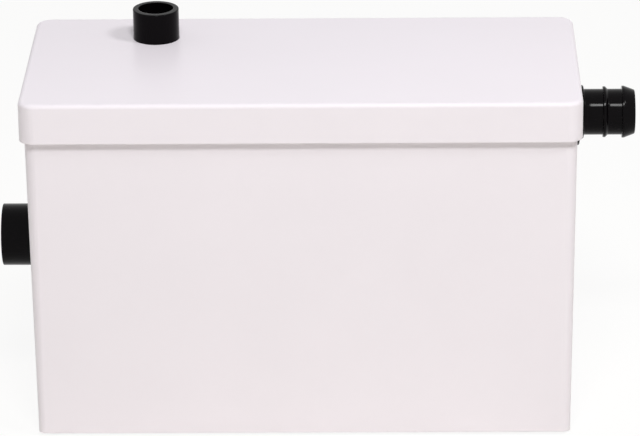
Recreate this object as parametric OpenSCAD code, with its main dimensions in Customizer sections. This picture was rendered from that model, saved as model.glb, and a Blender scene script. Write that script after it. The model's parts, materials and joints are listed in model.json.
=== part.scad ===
// Macerator toilet pump: a waste box that stands behind a toilet, with its shredder basket,
// pump, sealed motor, check valve, level switch and control box inside.
// Millimetres, +Z up. The origin is on the floor, at the centre of the base.

/* [Tank] */
// Width of the tank at its rim, left to right
tank_w = 373.4; // [366:0.2:420]
// Depth of the tank at its rim, front to back
tank_d = 173.4; // [170:0.2:210]
// Height of the tank from its underside to its rim
tank_h = 238; // [230:1:270]
// Thickness of the tank's walls
tank_wall = 4; // [3:0.25:5]
// Thickness of the tank's floor
floor_t = 5; // [4:0.5:7]
// Inward lean of the walls towards the base, in degrees
draft = 0.6; // [0.2:0.1:0.8]
// Corner radius of the tank at its rim
tank_r = 7.5; // [7:0.5:12]
// Thickness of the mat under the base
mat_t = 2; // [1:0.5:4]
// How far the mat stands in from the tank's edge
mat_inset = 8; // [5:1:16]

/* [Lid] */
// Thickness of the lid's skirt
lid_wall = 2.8; // [2:0.2:4]
// Thickness of the lid's top
lid_top_t = 3; // [2.5:0.5:5]
// Height of the lid's skirt, from its top
lid_skirt = 28; // [20:1:31]
// Radius of the lid's top edge
lid_edge_r = 3; // [1:0.5:5]
// Gap between the tank and the lid's skirt
lid_gap = 0.5; // [0.3:0.1:1]
// Height of the gasket between the rim and the lid
gasket_h = 3; // [2:0.5:5]
// Height of the stiffening ribs under the lid
lid_rib_h = 4; // [2:0.5:4.5]
// Thickness of the stiffening ribs
lid_rib_t = 2; // [1.5:0.5:3]

/* [Top inlet] */
// Distance of the top inlet from the left end of the tank
top_inlet_from_left = 83.5; // [70:0.5:95]
// Distance of the top inlet from the back of the tank
top_inlet_from_back = 38.7; // [38:0.5:60]
// Outer diameter of the top inlet
top_inlet_od = 32.2; // [28:0.2:36]
// Bore of the top inlet
top_inlet_bore = 24.6; // [20:0.2:27]
// Height of the top inlet above the lid
top_inlet_reach = 21.6; // [15:0.2:40]
// Length of the top inlet's drop tube under its flange
top_inlet_drop = 10; // [5:1:15]

/* [Side inlet] */
// Height of the side inlet's axis above the floor
side_inlet_z = 117; // [90:1:140]
// Outer diameter of the side inlet
side_inlet_od = 43.4; // [40:0.2:48]
// Bore of the side inlet
side_inlet_bore = 36.4; // [32:0.2:38]
// How far the side inlet stands out of the wall
side_inlet_reach = 26; // [20:1:50]

/* [Outlet] */
// Depth of the outlet's axis under the lid's skirt
outlet_drop = 28; // [27:0.5:40]
// Distance of the outlet's axis from the back of the tank
outlet_from_back = 41.7; // [40:0.1:46]
// Outer diameter of the outlet's tube
outlet_od = 32.4; // [31:0.2:34]
// Bore of the outlet
outlet_bore = 23; // [18:0.5:24]
// Diameter of the barb at the free end
outlet_barb_d = 36.7; // [35:0.1:39]
// Diameter of the middle ring
outlet_ring_d = 36; // [34.5:0.1:39]
// Diameter of the free end
outlet_tip_d = 31; // [28:0.5:32]
// Diameter of the collar next to the flange
outlet_collar_d = 37.8; // [35:0.2:42]
// Diameter of the flange at the wall
outlet_flange_d = 47; // [45:0.5:50]
// Length of the outlet past its collar
outlet_reach = 36; // [30:0.5:60]

/* [Toilet inlet] */
// Depth of the toilet inlet's axis under the lid's skirt
wc_drop = 66; // [66:1:72]
// Outer diameter of the spigot on the back of the tank
wc_spigot_od = 100; // [90:1:100]
// Wall of the spigot
wc_spigot_wall = 3.5; // [2.5:0.5:5]
// How far the spigot stands out of the back
wc_spigot_reach = 26; // [20:1:40]
// Bore of the rubber sleeve at its free end
wc_sleeve_bore = 102; // [100:1:106]
// Wall of the rubber sleeve
wc_sleeve_wall = 4; // [3:0.5:6]
// Length of the rubber sleeve
wc_sleeve_l = 58; // [54:1:80]

/* [Pump] */
// How far the pump's axis stands in front of the tank's middle
pump_forward = 4; // [2:1:5]
// Gap under the pump for the waste to enter
suction_gap = 8; // [6:1:12]
// Thickness of the pump's base
pump_base_t = 3; // [2:0.5:4]
// Outer height of the pump's casing
casing_h = 31; // [31:0.5:34]
// Wall of the pump's casing
casing_wall = 3.5; // [3:0.5:4]
// Thickness of the top of the casing
casing_top_t = 4; // [3:0.5:5]
// Radius of the impeller
impeller_r = 36; // [30:1:38]
// Number of impeller vanes
impeller_vanes = 6; // [4:1:8]
// Diameter of the suction eye
eye_d = 40; // [30:1:44]
// Outer diameter of the spigots that the riser hose fits
spigot_od = 30; // [28:0.5:30]
// Bore of the discharge, from the pump to the elbow
spigot_bore = 23; // [20:0.5:24]

/* [Basket] */
// Gap between the basket and the front wall
basket_gap = 3.7; // [3:0.1:5]
// Wall of the basket
basket_wall = 3; // [2:0.5:4]
// Number of slots round the basket
basket_slots = 24; // [12:1:32]
// Width of a slot
basket_slot_w = 6; // [4:0.5:9]
// Gap between the knife's tips and the basket
knife_gap = 10; // [5:0.5:20]
// Thickness of the knife
knife_t = 4; // [2:0.5:5]

/* [Motor] */
// Outer diameter of the motor bottle
bottle_od = 88; // [84:1:92]
// Wall of the motor bottle
bottle_wall = 3.5; // [3:0.5:4.5]
// Height of the motor bottle above the pump
bottle_gap = 37; // [36:1:44]
// Diameter of the shaft
shaft_d = 12; // [10:0.5:13]
// Height of the stator's stack
stator_h = 50; // [40:1:60]
// Diameter of the rotor
rotor_d = 45; // [40:1:48]
// Radial gap between rotor and stator
air_gap = 0.7; // [0.4:0.1:1]
// Number of slots in the stator
stator_slots = 24; // [18:6:24]
// Depth of the bridge's top under the tank's rim
bridge_drop = 30; // [30:1:32]
// Thickness of the bridge
bridge_t = 4; // [3:0.5:5]

/* [Discharge] */
// Bend radius of the riser hose
hose_bend = 42; // [38:1:46]
// Wall of the riser hose
hose_wall = 4.5; // [3:0.5:5]
// Length of hose over each spigot
hose_grip = 22; // [18:1:24]
// Bend radius of the elbow
elbow_bend = 26; // [22:1:28]
// Inner diameter of the check valve's chamber
valve_bore = 44; // [42:1:46]
// Height of the check valve's chamber
valve_h = 38; // [36:1:42]

/* [Control box] */
// Width of the control box
box_w = 82; // [80:1:92]
// Depth of the control box
box_d = 60; // [58:1:62]
// Height of the control box's tray
box_h = 22; // [22:0.5:23]
// Wall of the control box
box_wall = 2; // [1.5:0.5:3]
// Diameter of the level switch's dip tube
bell_tube_d = 30; // [24:1:36]
// Gap between the dip tube and the tank's floor
bell_gap = 12; // [8:1:40]
// Travel of the level switch's plunger
plunger_travel = 1.5; // [0.5:0.1:1.6]

/* [Fasteners and fits] */
// Diameter of the large screws
screw_d = 4; // [3:0.5:4.5]
// Diameter of the small screws
small_screw_d = 3; // [2:0.5:3.5]
// Diameter of the flaps' hinge pins
pin_d = 3; // [2:0.5:3]
// Radial clearance of a turning fit
run_fit = 0.08; // [0.05:0.01:0.1]
// Radial clearance of a push fit
push_fit = 0.1; // [0.05:0.01:0.2]
// Gap between neighbours that move past each other
move_gap = 0.3; // [0.25:0.05:0.5]

/* [Hidden] */
$fn = 64;
// Overshoot of a cutter past the face that it cuts
cut = 1;
// Overlap of two shapes that make one piece
seam = 0.5;

// Levels
floor_z = mat_t + floor_t;
rim_z = mat_t + tank_h;
ceiling_z = rim_z + gasket_h;
lid_top_z = ceiling_z + lid_top_t;
skirt_z = lid_top_z - lid_skirt;

// Half sizes of the leaning walls at a height, to the nearest micron
micron = 0.001;
function lean(z) = round((rim_z - z) * tan(draft) / micron) * micron;
function half_w(z) = tank_w / 2 - lean(z);
function half_d(z) = tank_d / 2 - lean(z);
function inner_w(z) = half_w(z) - tank_wall;
function inner_d(z) = half_d(z) - tank_wall;

// Lid
lid_w = tank_w + 2 * (lid_gap + lid_wall);
lid_d = tank_d + 2 * (lid_gap + lid_wall);
lid_r = tank_r + lid_gap + lid_wall;
rib_row_pitch = 45;
rib_column_pitch = 100;

// Flanges that clamp a gasket with screws
flange_t = 4;
flange_gasket_t = 2;
screw_head_d = 2 * screw_d;
screw_hole_d = screw_d + 2 * push_fit;
small_hole_d = small_screw_d + 2 * push_fit;
head_room = 1;
flange_margin = screw_head_d / 2 + head_room;
// Step from a pipe's seat down to the neck that passes through the wall
neck_step = 0.3;
pipe_rim_r = 0.6;

// Top inlet
top_x = -tank_w / 2 + top_inlet_from_left;
top_y = tank_d / 2 - top_inlet_from_back;
top_boss_h = 5;
top_flange_z = ceiling_z - top_boss_h - flange_gasket_t - flange_t;
top_pcd = top_inlet_od + 2 * flange_margin;
top_flange_d = top_pcd + 2 * flange_margin;
top_screw_l = flange_t + flange_gasket_t + top_boss_h;

// Side inlet: the pad is a flat seat on the leaning wall
side_pcd = side_inlet_od + 2 * flange_margin;
side_flange_d = side_pcd + 2 * flange_margin;
side_pad_proud = 4;
side_pad_x = inner_w(side_inlet_z - side_flange_d / 2) - side_pad_proud;
side_screw_l = flange_t + flange_gasket_t + side_pad_proud + tank_wall / 2;
side_nose_l = 8;
side_seat = flange_gasket_t + flange_t + side_nose_l;

// Flaps: the pin lies outside the seat, and the knuckle is round the pin
flap_t = 3;
knuckle_wall = 1.3;
knuckle_d = pin_d + 2 * knuckle_wall;
ear_t = 3;
ear_edge = 1.5;
side_flap_inset = 0.5;
side_flap_d = side_inlet_od - 2 * side_flap_inset;
side_arm_l = 2;
side_pin_up = side_inlet_od / 2 + knuckle_d / 2 + move_gap + side_arm_l;
side_pin_in = side_seat + move_gap + flap_t / 2;
side_knuckle_w = 20;

// Outlet: flat pads on both faces of the leaning wall
outlet_z = skirt_z - outlet_drop;
outlet_y = tank_d / 2 - outlet_from_back;
pad_skin = 0.4;
pad_edge = 1;
outlet_pad_d = outlet_flange_d + 2 * pad_edge;
outlet_out_x = half_w(outlet_z + outlet_pad_d / 2) + pad_skin;
outlet_in_x = inner_w(outlet_z - outlet_pad_d / 2) - pad_skin;
outlet_gasket_t = 2;
outlet_flange_t = 4.6;
outlet_collar_l = 3;
outlet_thread_d = outlet_od;
outlet_nut_t = 7;
outlet_nut_d = 44;
outlet_stub_l = 4;
outlet_stub_x = outlet_in_x - outlet_nut_t - outlet_stub_l;
outlet_tip_x = outlet_out_x + outlet_gasket_t + outlet_flange_t + outlet_collar_l + outlet_reach;
outlet_barb_l = 9.2;
outlet_ring_l = 3.5;
outlet_ring_gap = 9.8;
outlet_crest = 1.6;
socket_wall = 2.5;
socket_d = outlet_thread_d - 2 * socket_wall;
socket_l = 12;
socket_end_gap = 1;

// Toilet inlet
wc_z = skirt_z - wc_drop;
wc_inner_reach = 14;
wc_sleeve_grip = 20;

// Pump stack
pump_y = -pump_forward;
pump_base_z = floor_z + suction_gap;
casing_z = pump_base_z + pump_base_t;
casing_top_z = casing_z + casing_h;
spigot_z = casing_z + casing_h / 2;
chamber_h = casing_h - casing_top_t;
volute_gap = 5;
volute_max = outlet_y - pump_y + spigot_bore / 2;
function volute_r(a) = impeller_r + volute_gap + (volute_max - impeller_r - volute_gap) * a / 360;
function volute_point(a, extra) = (volute_r(a) + extra) * [sin(a), cos(a)];
volute_step = 10;
boss_d = 12;
boss_out = 2;
boss_angles = [60, 150, 240, 330];
mount_d = 14;
mount_pcd = 76;
pump_screw_l = 9;

// Discharge: the riser stands in from the right wall by the elbow and its socket
elbow_lead = 6;
riser_x = outlet_stub_x - elbow_bend - elbow_lead;
spigot_end = riser_x - hose_bend;
hose_bore = spigot_od + 2 * push_fit;
hose_od = hose_bore + 2 * hose_wall;
clip_w = 9;
clip_t = 1;
clip_lip = 0.5;
clip_inset = 5;
valve_wall = 4;
valve_flange_t = 6;
elbow_leg = 8;
valve_top_z = outlet_z - elbow_bend - elbow_leg - valve_flange_t;
valve_floor_z = valve_top_z - valve_h;
valve_od = valve_bore + 2 * valve_wall;
valve_screw_in = 3;
valve_pcd = valve_od + 2 * valve_screw_in;
valve_flange_edge = 3.5;
valve_flange_d = valve_pcd + 2 * valve_flange_edge;
valve_screws = 3;
valve_seat_h = 2;
valve_seat_w = 2.5;
valve_flap_over = 1;
valve_flap_d = spigot_bore + 2 * (valve_seat_w + valve_flap_over);
knuckle_bite = 0.3;
valve_pin_x = -valve_flap_d / 2 - knuckle_d / 2 + knuckle_bite;
valve_pin_up = 0.5;
valve_pin_z = valve_floor_z + valve_seat_h + move_gap + flap_t / 2 + valve_pin_up;
valve_knuckle_w = 10;
hose_end_gap = 2;
valve_spigot_z = valve_floor_z - valve_wall - hose_grip - hose_end_gap;
elbow_tube_d = socket_d - 2 * push_fit;

// Basket and knife
basket_od = 2 * (inner_d(casing_top_z) - pump_forward - basket_gap);
knife_r = basket_od / 2 - basket_wall - knife_gap;
basket_room = 2;
basket_top_z = wc_z - wc_spigot_od / 2 - basket_room;
basket_floor_t = 3;
basket_hole_d = 7;
basket_holes = 24;
basket_hole_edge = 1.5;
basket_slot_margin = 6;
basket_screws = 4;
basket_screw_pcd = 60;
basket_screw_l = basket_floor_t + casing_top_t - head_room;
knife_hub_d = 24;
knife_room = 2;
knife_hub_z = casing_top_z + basket_floor_t + knife_room;
knife_hub_h = 14;
knife_step = 3;
knife_z = knife_hub_z + knife_step;

// Motor
bottle_z = casing_top_z + bottle_gap;
bottle_floor_t = 6;
bridge_z = rim_z - bridge_drop - bridge_t;
bridge_top_z = bridge_z + bridge_t;
bottle_flange_t = 5;
bottle_flange_w = 12;
bottle_flange_d = bottle_od + 2 * bottle_flange_w;
bottle_bore = bottle_od - 2 * bottle_wall;
cap_seal_t = 1.5;
cap_z = bridge_top_z + bottle_flange_t + cap_seal_t;
cap_flange_t = 4;
cap_h = 15;
cap_t = 3;
cap_dome_inset = 2;
cap_dome_d = bottle_od - 2 * cap_dome_inset;
cap_pcd = (bottle_od + bottle_flange_d) / 2;
cap_screw_l = cap_flange_t + cap_seal_t + bottle_flange_t + bridge_t;
bearing_section = 10;
bearing_od = shaft_d + 2 * bearing_section;
bearing_h = 10;
bearing_ring = 3;
race_r = 3.4;
ball_play = 0.2;
ball_r = race_r - ball_play;
balls = 7;
bearing_pitch = (bearing_od + shaft_d) / 2;
seat_wall = 4;
lower_bearing_z = bottle_z + bottle_floor_t;
upper_bearing_drop = 20;
upper_bearing_z = cap_z - upper_bearing_drop;
coil_room = 2;
end_turn_h = 10;
stator_z = lower_bearing_z + bearing_h + end_turn_h + coil_room;
stator_od = bottle_bore - 2 * push_fit;
stator_bore = rotor_d + 2 * air_gap;
slot_w = 2.6;
slot_depth = 8;
coil_inset = 1.5;
shaft_end_up = 1;
shaft_end_z = pump_base_z + shaft_end_up;
shaft_over = 4;
shaft_top_z = upper_bearing_z + bearing_h + shaft_over;
impeller_hub_d = 20;
impeller_h = 18;
impeller_room = 3;
impeller_z = casing_z + chamber_h - impeller_h - impeller_room;
thread_over = 1;
nut_h = impeller_z - shaft_end_z - thread_over;
nut_d = 18;
seal_seat_od = 28;
seal_room = 0.75;
seal_seat_bore = shaft_d + 2 * seal_room;
seal_seat_sunk = 0.5;

// Bridge columns on the tank, to the left of the clip on the pump's spigot
column_w = 14;
column_d = 16;
column_room = 1.5;
column_x = spigot_end - hose_grip + clip_inset - clip_lip - column_room - column_w / 2;
bridge_edge = 3;
bridge_half = column_x + column_w / 2 + bridge_edge;
bridge_screw_l = 12;
bridge_room = 1;
bridge_arm_edge = 3;

// Control box and level switch
box_z = bridge_top_z;
box_edge = 14;
side_column_l = 12;
box_x = inner_w(bridge_z) - box_w / 2 - box_edge;
box_room = 4;
box_y = -inner_d(bridge_z) + box_d / 2 + box_room;
box_top_z = box_z + box_h;
cover_t = 4;
cover_lip = 2;
bell_left = 14;
bell_x = box_x - bell_left;
bell_y = box_y;
bell_flange_t = 4;
bell_flange_d = 62;
bell_chamber_d = 38;
bell_chamber_h = 20;
bell_wall = 2.5;
bell_pcd = 46;
bell_start = 90;
bell_screws = 3;
diaphragm_t = 2;
bell_top_z = bridge_z - diaphragm_t;
plunger_hole_d = 28;
plunger_d = 24;
plunger_t = 2.5;
plunger_z = bridge_z + move_gap;
stem_d = 6;
guide_up = 3;
guide_z = box_z + box_wall + guide_up;
guide_t = 2.5;
guide_w = 12;
stem_over = 5;
stem_top_z = guide_z + guide_t + stem_over;
lever_z = stem_top_z + move_gap;
lever_t = 0.6;
lever_w = 4;
lever_arm = 10;
lever_l = 12;
lever_pin_d = 1.4;
lever_knuckle_d = 2.4;
lever_set = 0.2;
lever_pin_z = lever_z + lever_knuckle_d / 2 + lever_set;
lever_room = 0.15;
lever_side_gap = 0.2;
switch_z = lever_pin_z + lever_knuckle_d / 2 + lever_room;
switch_left = 3;
switch_back_left = 4;
switch_l = 20;
switch_w = 7;
switch_h = box_top_z + cover_lip - move_gap - switch_z;
switch_ear_w = 1;
button_d = 2;
button_arm = 5;
button_z = lever_z + lever_t + move_gap;
button_in = 1.5;
button_room = 1;
button_l = switch_z - button_z + button_in;
button_hole_l = button_in + plunger_travel + button_room;
spring_wire = 0.8;
spring_d = 11;
spring_turns = 4;
spring_gap = 0.2;

// Motor lead, run capacitor along the back of the box and board in its right-hand front corner
board_w = 26;
board_t = 1.6;
board_edge = 8.5;
post_h = 3;
post_d = 5;
capacitor_d = 18;
capacitor_l = 40;
lead_d = 6.5;
lead_hole_d = lead_d + 2 * push_fit;
lead_stub_l = 6;
lead_angle = -40;
lead_up = 5;
lead_z = cap_z + cap_flange_t + lead_up;
lead_boss_wall = 2.5;
lead_mouth_r = cap_dome_d / 2 + lead_stub_l;
lead_bite = 1.5;
lead_straight = 1;
lead_rise = [0, 0, 4];
lead_sides = 8;
lead_steps = 7;
function lead_out(r) = [r * cos(lead_angle), pump_y + r * sin(lead_angle), lead_z];
lead_entry = [box_x - box_w / 2, box_y, lead_z];
lead_bow = (lead_entry.x - lead_out(lead_mouth_r).x) / 3;
function bezier(p, t) =
    pow(1 - t, 3) * p[0] + 3 * t * pow(1 - t, 2) * p[1] + 3 * t * t * (1 - t) * p[2] + pow(t, 3) * p[3];
lead_curve = [
    lead_out(lead_mouth_r + lead_straight), lead_out(lead_mouth_r + lead_bow) + lead_rise,
    lead_entry - [lead_bow, 0, 0] + lead_rise, lead_entry - [lead_straight, 0, 0],
];
lead_points = [
    lead_out(cap_dome_d / 2 - lead_bite), lead_out(lead_mouth_r),
    for (i = [0 : lead_steps]) bezier(lead_curve, i / lead_steps),
    lead_entry, lead_entry + [box_wall + lead_straight, 0, 0],
];
capacitor_from_bell = 5;
capacitor_room = 2;
capacitor_x = bell_x + capacitor_from_bell;
capacitor_y = box_y + box_d / 2 - box_wall - capacitor_d / 2 - capacitor_room;
saddle_w = 2;
saddle_places = [16, 34];
board_room = 2;
board_gap = 4;
board_d = box_d - 2 * box_wall - capacitor_d - capacitor_room - board_gap - board_room;
board_x = box_x + box_w / 2 - box_wall - board_edge - board_w;
board_y = box_y - box_d / 2 + box_wall + board_room;
box_boss_d = 2.4 * small_screw_d;
box_hole_l = 8;

// Cable gland
gland_from_right = 78.7;
gland_drop = 44;
gland_x = tank_w / 2 - gland_from_right;
gland_z = rim_z - gland_drop;
gland_thread_d = 15;
gland_hex_d = 22;
gland_hex_t = 6;
gland_bore = 7.2;
gland_dome_d = 19;
gland_dome_l = 13;
gland_nut_t = 5;
gland_thread_over = 2;
gland_dome_r = 4;
gland_pad_d = 28;
gland_out_y = half_d(gland_z + gland_pad_d / 2) + pad_skin;
gland_in_y = inner_d(gland_z - gland_pad_d / 2) - pad_skin;

// Turns a shape's +Z to face right, left or back
module facing_right(p) {
    translate(p) rotate([0, 90, 0]) children();
}

module facing_left(p) {
    translate(p) rotate([0, -90, 0]) children();
}

module facing_back(p) {
    translate(p) rotate([-90, 0, 0]) children();
}

module ring(od, id, h) {
    difference() {
        cylinder(d = od, h = h);
        translate([0, 0, -cut]) cylinder(d = id, h = h + 2 * cut);
    }
}

// Places children evenly on a circle
module around(count, diameter, start = 0) {
    for (i = [0 : count - 1])
        rotate(start + i * 360 / count) translate([diameter / 2, 0, 0]) children();
}

// Cutter for a screw hole through a plate that stands on z = 0
module screw_hole(t) {
    translate([0, 0, -cut]) cylinder(d = screw_hole_d, h = t + 2 * cut);
}

// Pan-head screw: its head stands on z = 0 and its shank points down
module pan_screw(d, length) {
    recess_w = 0.25 * d;
    recess_l = 1.1 * d;
    recess_depth = 0.35 * d;
    head_h = 0.65 * d;
    difference() {
        union() {
            cylinder(d = 2 * d, h = head_h);
            translate([0, 0, -length]) cylinder(d = d, h = length + seam);
        }
        for (a = [0, 90])
            rotate(a) translate([-recess_l / 2, -recess_w / 2, head_h - recess_depth])
                cube([recess_l, recess_w, recess_depth + cut]);
    }
}

// Box with the tank's leaning walls and rounded corners, set in by inset
module leaning_box(z0, z1, inset, corner) {
    cx = tank_w / 2 - inset - corner;
    cy = tank_d / 2 - inset - corner;
    r0 = corner - lean(z0);
    r1 = corner - lean(z1);
    for (left = [0, 1], front = [0, 1])
        mirror([left, 0, 0]) mirror([0, front, 0]) translate([cx, cy, 0])
            rotate_extrude(angle = 90) polygon([[0, z0], [r0, z0], [r1, z1], [0, z1]]);
    rotate([90, 0, 0]) linear_extrude(2 * cy, center = true)
        polygon([[-cx - r0, z0], [cx + r0, z0], [cx + r1, z1], [-cx - r1, z1]]);
    rotate([90, 0, 90]) linear_extrude(2 * cx, center = true)
        polygon([[-cy - r0, z0], [cy + r0, z0], [cy + r1, z1], [-cy - r1, z1]]);
}

// Upright box with rounded corners
module rounded_box(w, d, r, h) {
    for (x = [-1, 1], y = [-1, 1])
        translate([x * (w / 2 - r), y * (d / 2 - r), 0]) cylinder(r = r, h = h);
    translate([-w / 2, -d / 2 + r, 0]) cube([w, d - 2 * r, h]);
    translate([-w / 2 + r, -d / 2, 0]) cube([w - 2 * r, d, h]);
}

// Half section of a box whose top edge is rounded
module rounded_edge_half(half, h, e) {
    square([half - e, h]);
    square([half, h - e]);
    translate([half - e, h - e]) circle(e);
}

module rounded_edge_slab(half, length, h, e) {
    rotate([90, 0, 0]) linear_extrude(length, center = true) {
        rounded_edge_half(half, h, e);
        mirror([1, 0]) rounded_edge_half(half, h, e);
    }
}

// Box with rounded corners and a rounded top edge
module soft_top_box(w, d, r, h, e) {
    for (x = [-1, 1], y = [-1, 1])
        translate([x * (w / 2 - r), y * (d / 2 - r), 0])
            rotate_extrude() rounded_edge_half(r, h, e);
    rounded_edge_slab(w / 2, d - 2 * r, h, e);
    rotate(90) rounded_edge_slab(d / 2, w - 2 * r, h, e);
}

// Quarter bend in the plane of X and Z; start is its first angle round the bend's centre
module quarter_bend(centre, start, bend, d) {
    translate(centre) rotate([90, 0, 0]) rotate(start)
        rotate_extrude(angle = 90) translate([bend, 0]) circle(d = d);
}

// Worm-drive band: a ring with its screw housing on the +X side
module worm_clip(bore, width, thickness) {
    bite = 0.4;
    housing = [7, 13, width + 2 * clip_lip];
    screw_l = 20;
    screw_od = 6;
    ring(bore + 2 * thickness, bore, width);
    translate([bore / 2 + thickness - bite, -housing.y / 2, -clip_lip]) cube(housing);
    translate([bore / 2 + thickness + housing.x / 2, 0, width / 2]) rotate([90, 0, 0])
        cylinder(d = screw_od, h = screw_l, center = true);
}

module base_mat() {
    color("dimgray")
        rounded_box(2 * (half_w(mat_t) - mat_inset), 2 * (half_d(mat_t) - mat_inset), tank_r, mat_t);
}

// Columns that carry the bridge: four on the long walls and one on the right wall
module bridge_columns() {
    wall_y = inner_d(bridge_z);
    wall_x = inner_w(bridge_z);
    for (x = [-column_x, column_x], side = [0, 1])
        mirror([0, side, 0])
            translate([x - column_w / 2, wall_y - column_d, floor_z - seam])
                cube([column_w, column_d + seam, bridge_z - floor_z + seam]);
    translate([wall_x - side_column_l, box_y - column_w / 2, floor_z - seam])
        cube([side_column_l + seam, column_w, bridge_z - floor_z + seam]);
}

// Screw places on the bridge columns
module at_bridge_screws() {
    y = inner_d(bridge_z) - column_d / 2;
    for (x = [-column_x, column_x], side = [-1, 1])
        translate([x, side * y, 0]) children();
    translate([inner_w(bridge_z) - side_column_l / 2, box_y, 0]) children();
}

module wc_spigot() {
    y0 = inner_d(wc_z) - wc_inner_reach;
    facing_back([0, y0, wc_z])
        cylinder(d = wc_spigot_od, h = half_d(wc_z) + wc_spigot_reach - y0);
}

module wc_bore() {
    y0 = inner_d(wc_z) - wc_inner_reach - cut;
    facing_back([0, y0, wc_z])
        cylinder(d = wc_spigot_od - 2 * wc_spigot_wall, h = half_d(wc_z) + wc_spigot_reach - y0 + cut);
}

module tank() {
    inner_corner = max(tank_r - tank_wall, lean(floor_z) + seam);
    pad_depth = tank_wall / 2;
    color("whitesmoke") difference() {
        union() {
            difference() {
                leaning_box(mat_t, rim_z, 0, tank_r);
                leaning_box(floor_z, rim_z + cut, tank_wall, inner_corner);
            }
            bridge_columns();
            facing_left([-side_pad_x, 0, side_inlet_z])
                cylinder(d = side_flange_d, h = side_pad_proud + pad_depth);
            facing_left([outlet_out_x, outlet_y, outlet_z])
                cylinder(d = outlet_pad_d, h = outlet_out_x - outlet_in_x);
            facing_back([gland_x, gland_in_y, gland_z])
                cylinder(d = gland_pad_d, h = gland_out_y - gland_in_y);
            wc_spigot();
        }
        wc_bore();
        facing_left([-side_pad_x + cut, 0, side_inlet_z])
            cylinder(d = side_inlet_od + 2 * push_fit, h = side_pad_proud + 2 * tank_wall);
        facing_left([-side_pad_x + cut, 0, side_inlet_z])
            around(4, side_pcd, 45) cylinder(d = screw_hole_d, h = cut + side_pad_proud + pad_depth);
        facing_left([outlet_out_x + cut, outlet_y, outlet_z])
            cylinder(d = outlet_thread_d + 2 * push_fit, h = outlet_out_x - outlet_in_x + 2 * cut);
        facing_back([gland_x, gland_in_y - cut, gland_z])
            cylinder(d = gland_thread_d + 2 * push_fit, h = gland_out_y - gland_in_y + 2 * cut);
        translate([0, 0, bridge_z - bridge_screw_l])
            at_bridge_screws() cylinder(d = screw_hole_d, h = bridge_screw_l + cut);
    }
}

module at_top_inlet(z) {
    translate([top_x, top_y, z]) children();
}

module lid() {
    rib_l = 2 * (inner_w(rim_z) - lid_rib_h);
    rib_d = 2 * (inner_d(rim_z) - lid_rib_h);
    rows = floor(rib_d / 2 / rib_row_pitch);
    columns = floor(rib_l / 2 / rib_column_pitch - 0.5);
    color("white") difference() {
        union() {
            difference() {
                translate([0, 0, skirt_z]) soft_top_box(lid_w, lid_d, lid_r, lid_skirt, lid_edge_r);
                translate([0, 0, skirt_z - cut])
                    rounded_box(lid_w - 2 * lid_wall, lid_d - 2 * lid_wall, lid_r - lid_wall,
                        ceiling_z - skirt_z + cut);
            }
            for (i = [-rows : rows])
                translate([-rib_l / 2, i * rib_row_pitch - lid_rib_t / 2, ceiling_z - lid_rib_h])
                    cube([rib_l, lid_rib_t, lid_rib_h + seam]);
            for (i = [-columns - 0.5 : columns + 0.5])
                translate([i * rib_column_pitch - lid_rib_t / 2, -rib_d / 2, ceiling_z - lid_rib_h])
                    cube([lid_rib_t, rib_d, lid_rib_h + seam]);
            at_top_inlet(ceiling_z - top_boss_h) cylinder(d = top_flange_d, h = top_boss_h + seam);
        }
        at_top_inlet(ceiling_z - top_boss_h - cut)
            cylinder(d = top_inlet_od + 2 * push_fit, h = top_boss_h + lid_top_t + 2 * cut);
        at_top_inlet(ceiling_z - top_boss_h - cut)
            around(3, top_pcd, 90) cylinder(d = screw_hole_d, h = top_boss_h + cut);
    }
}

module lid_gasket() {
    side_room = 0.2;
    outer_w = tank_w - 2 * side_room;
    outer_d = tank_d - 2 * side_room;
    inner_corner = tank_r - tank_wall;
    color("dimgray") translate([0, 0, rim_z]) difference() {
        rounded_box(outer_w, outer_d, tank_r - side_room, gasket_h);
        translate([0, 0, -cut])
            rounded_box(tank_w - 2 * tank_wall + 2 * side_room, tank_d - 2 * tank_wall + 2 * side_room,
                max(inner_corner, seam), gasket_h + 2 * cut);
    }
}

module top_inlet_stub() {
    h = lid_top_z + top_inlet_reach - top_flange_z + top_inlet_drop;
    color([0.1, 0.1, 0.1]) at_top_inlet(top_flange_z) difference() {
        union() {
            translate([0, 0, lid_top_z - top_flange_z])
                rotate_extrude() rounded_edge_half(top_inlet_od / 2, top_inlet_reach, pipe_rim_r);
            translate([0, 0, -top_inlet_drop])
                cylinder(d = top_inlet_od - 2 * neck_step, h = h - top_inlet_reach + seam);
            cylinder(d = top_flange_d, h = flange_t);
        }
        translate([0, 0, -top_inlet_drop - cut]) cylinder(d = top_inlet_bore, h = h + 2 * cut);
        around(3, top_pcd, 90) screw_hole(flange_t);
    }
}

module top_inlet_gasket() {
    color("dimgray") at_top_inlet(top_flange_z + flange_t) difference() {
        ring(top_flange_d, top_inlet_od + 2 * push_fit, flange_gasket_t);
        around(3, top_pcd, 90) screw_hole(flange_gasket_t);
    }
}

module top_inlet_screws() {
    color("silver") at_top_inlet(top_flange_z) around(3, top_pcd, 90)
        rotate([180, 0, 0]) pan_screw(screw_d, top_screw_l);
}

// Side inlet parts are drawn with +Z out of the left wall and +X up, from the pad's face
module at_side_inlet() {
    facing_left([-side_pad_x, 0, side_inlet_z]) children();
}

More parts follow.
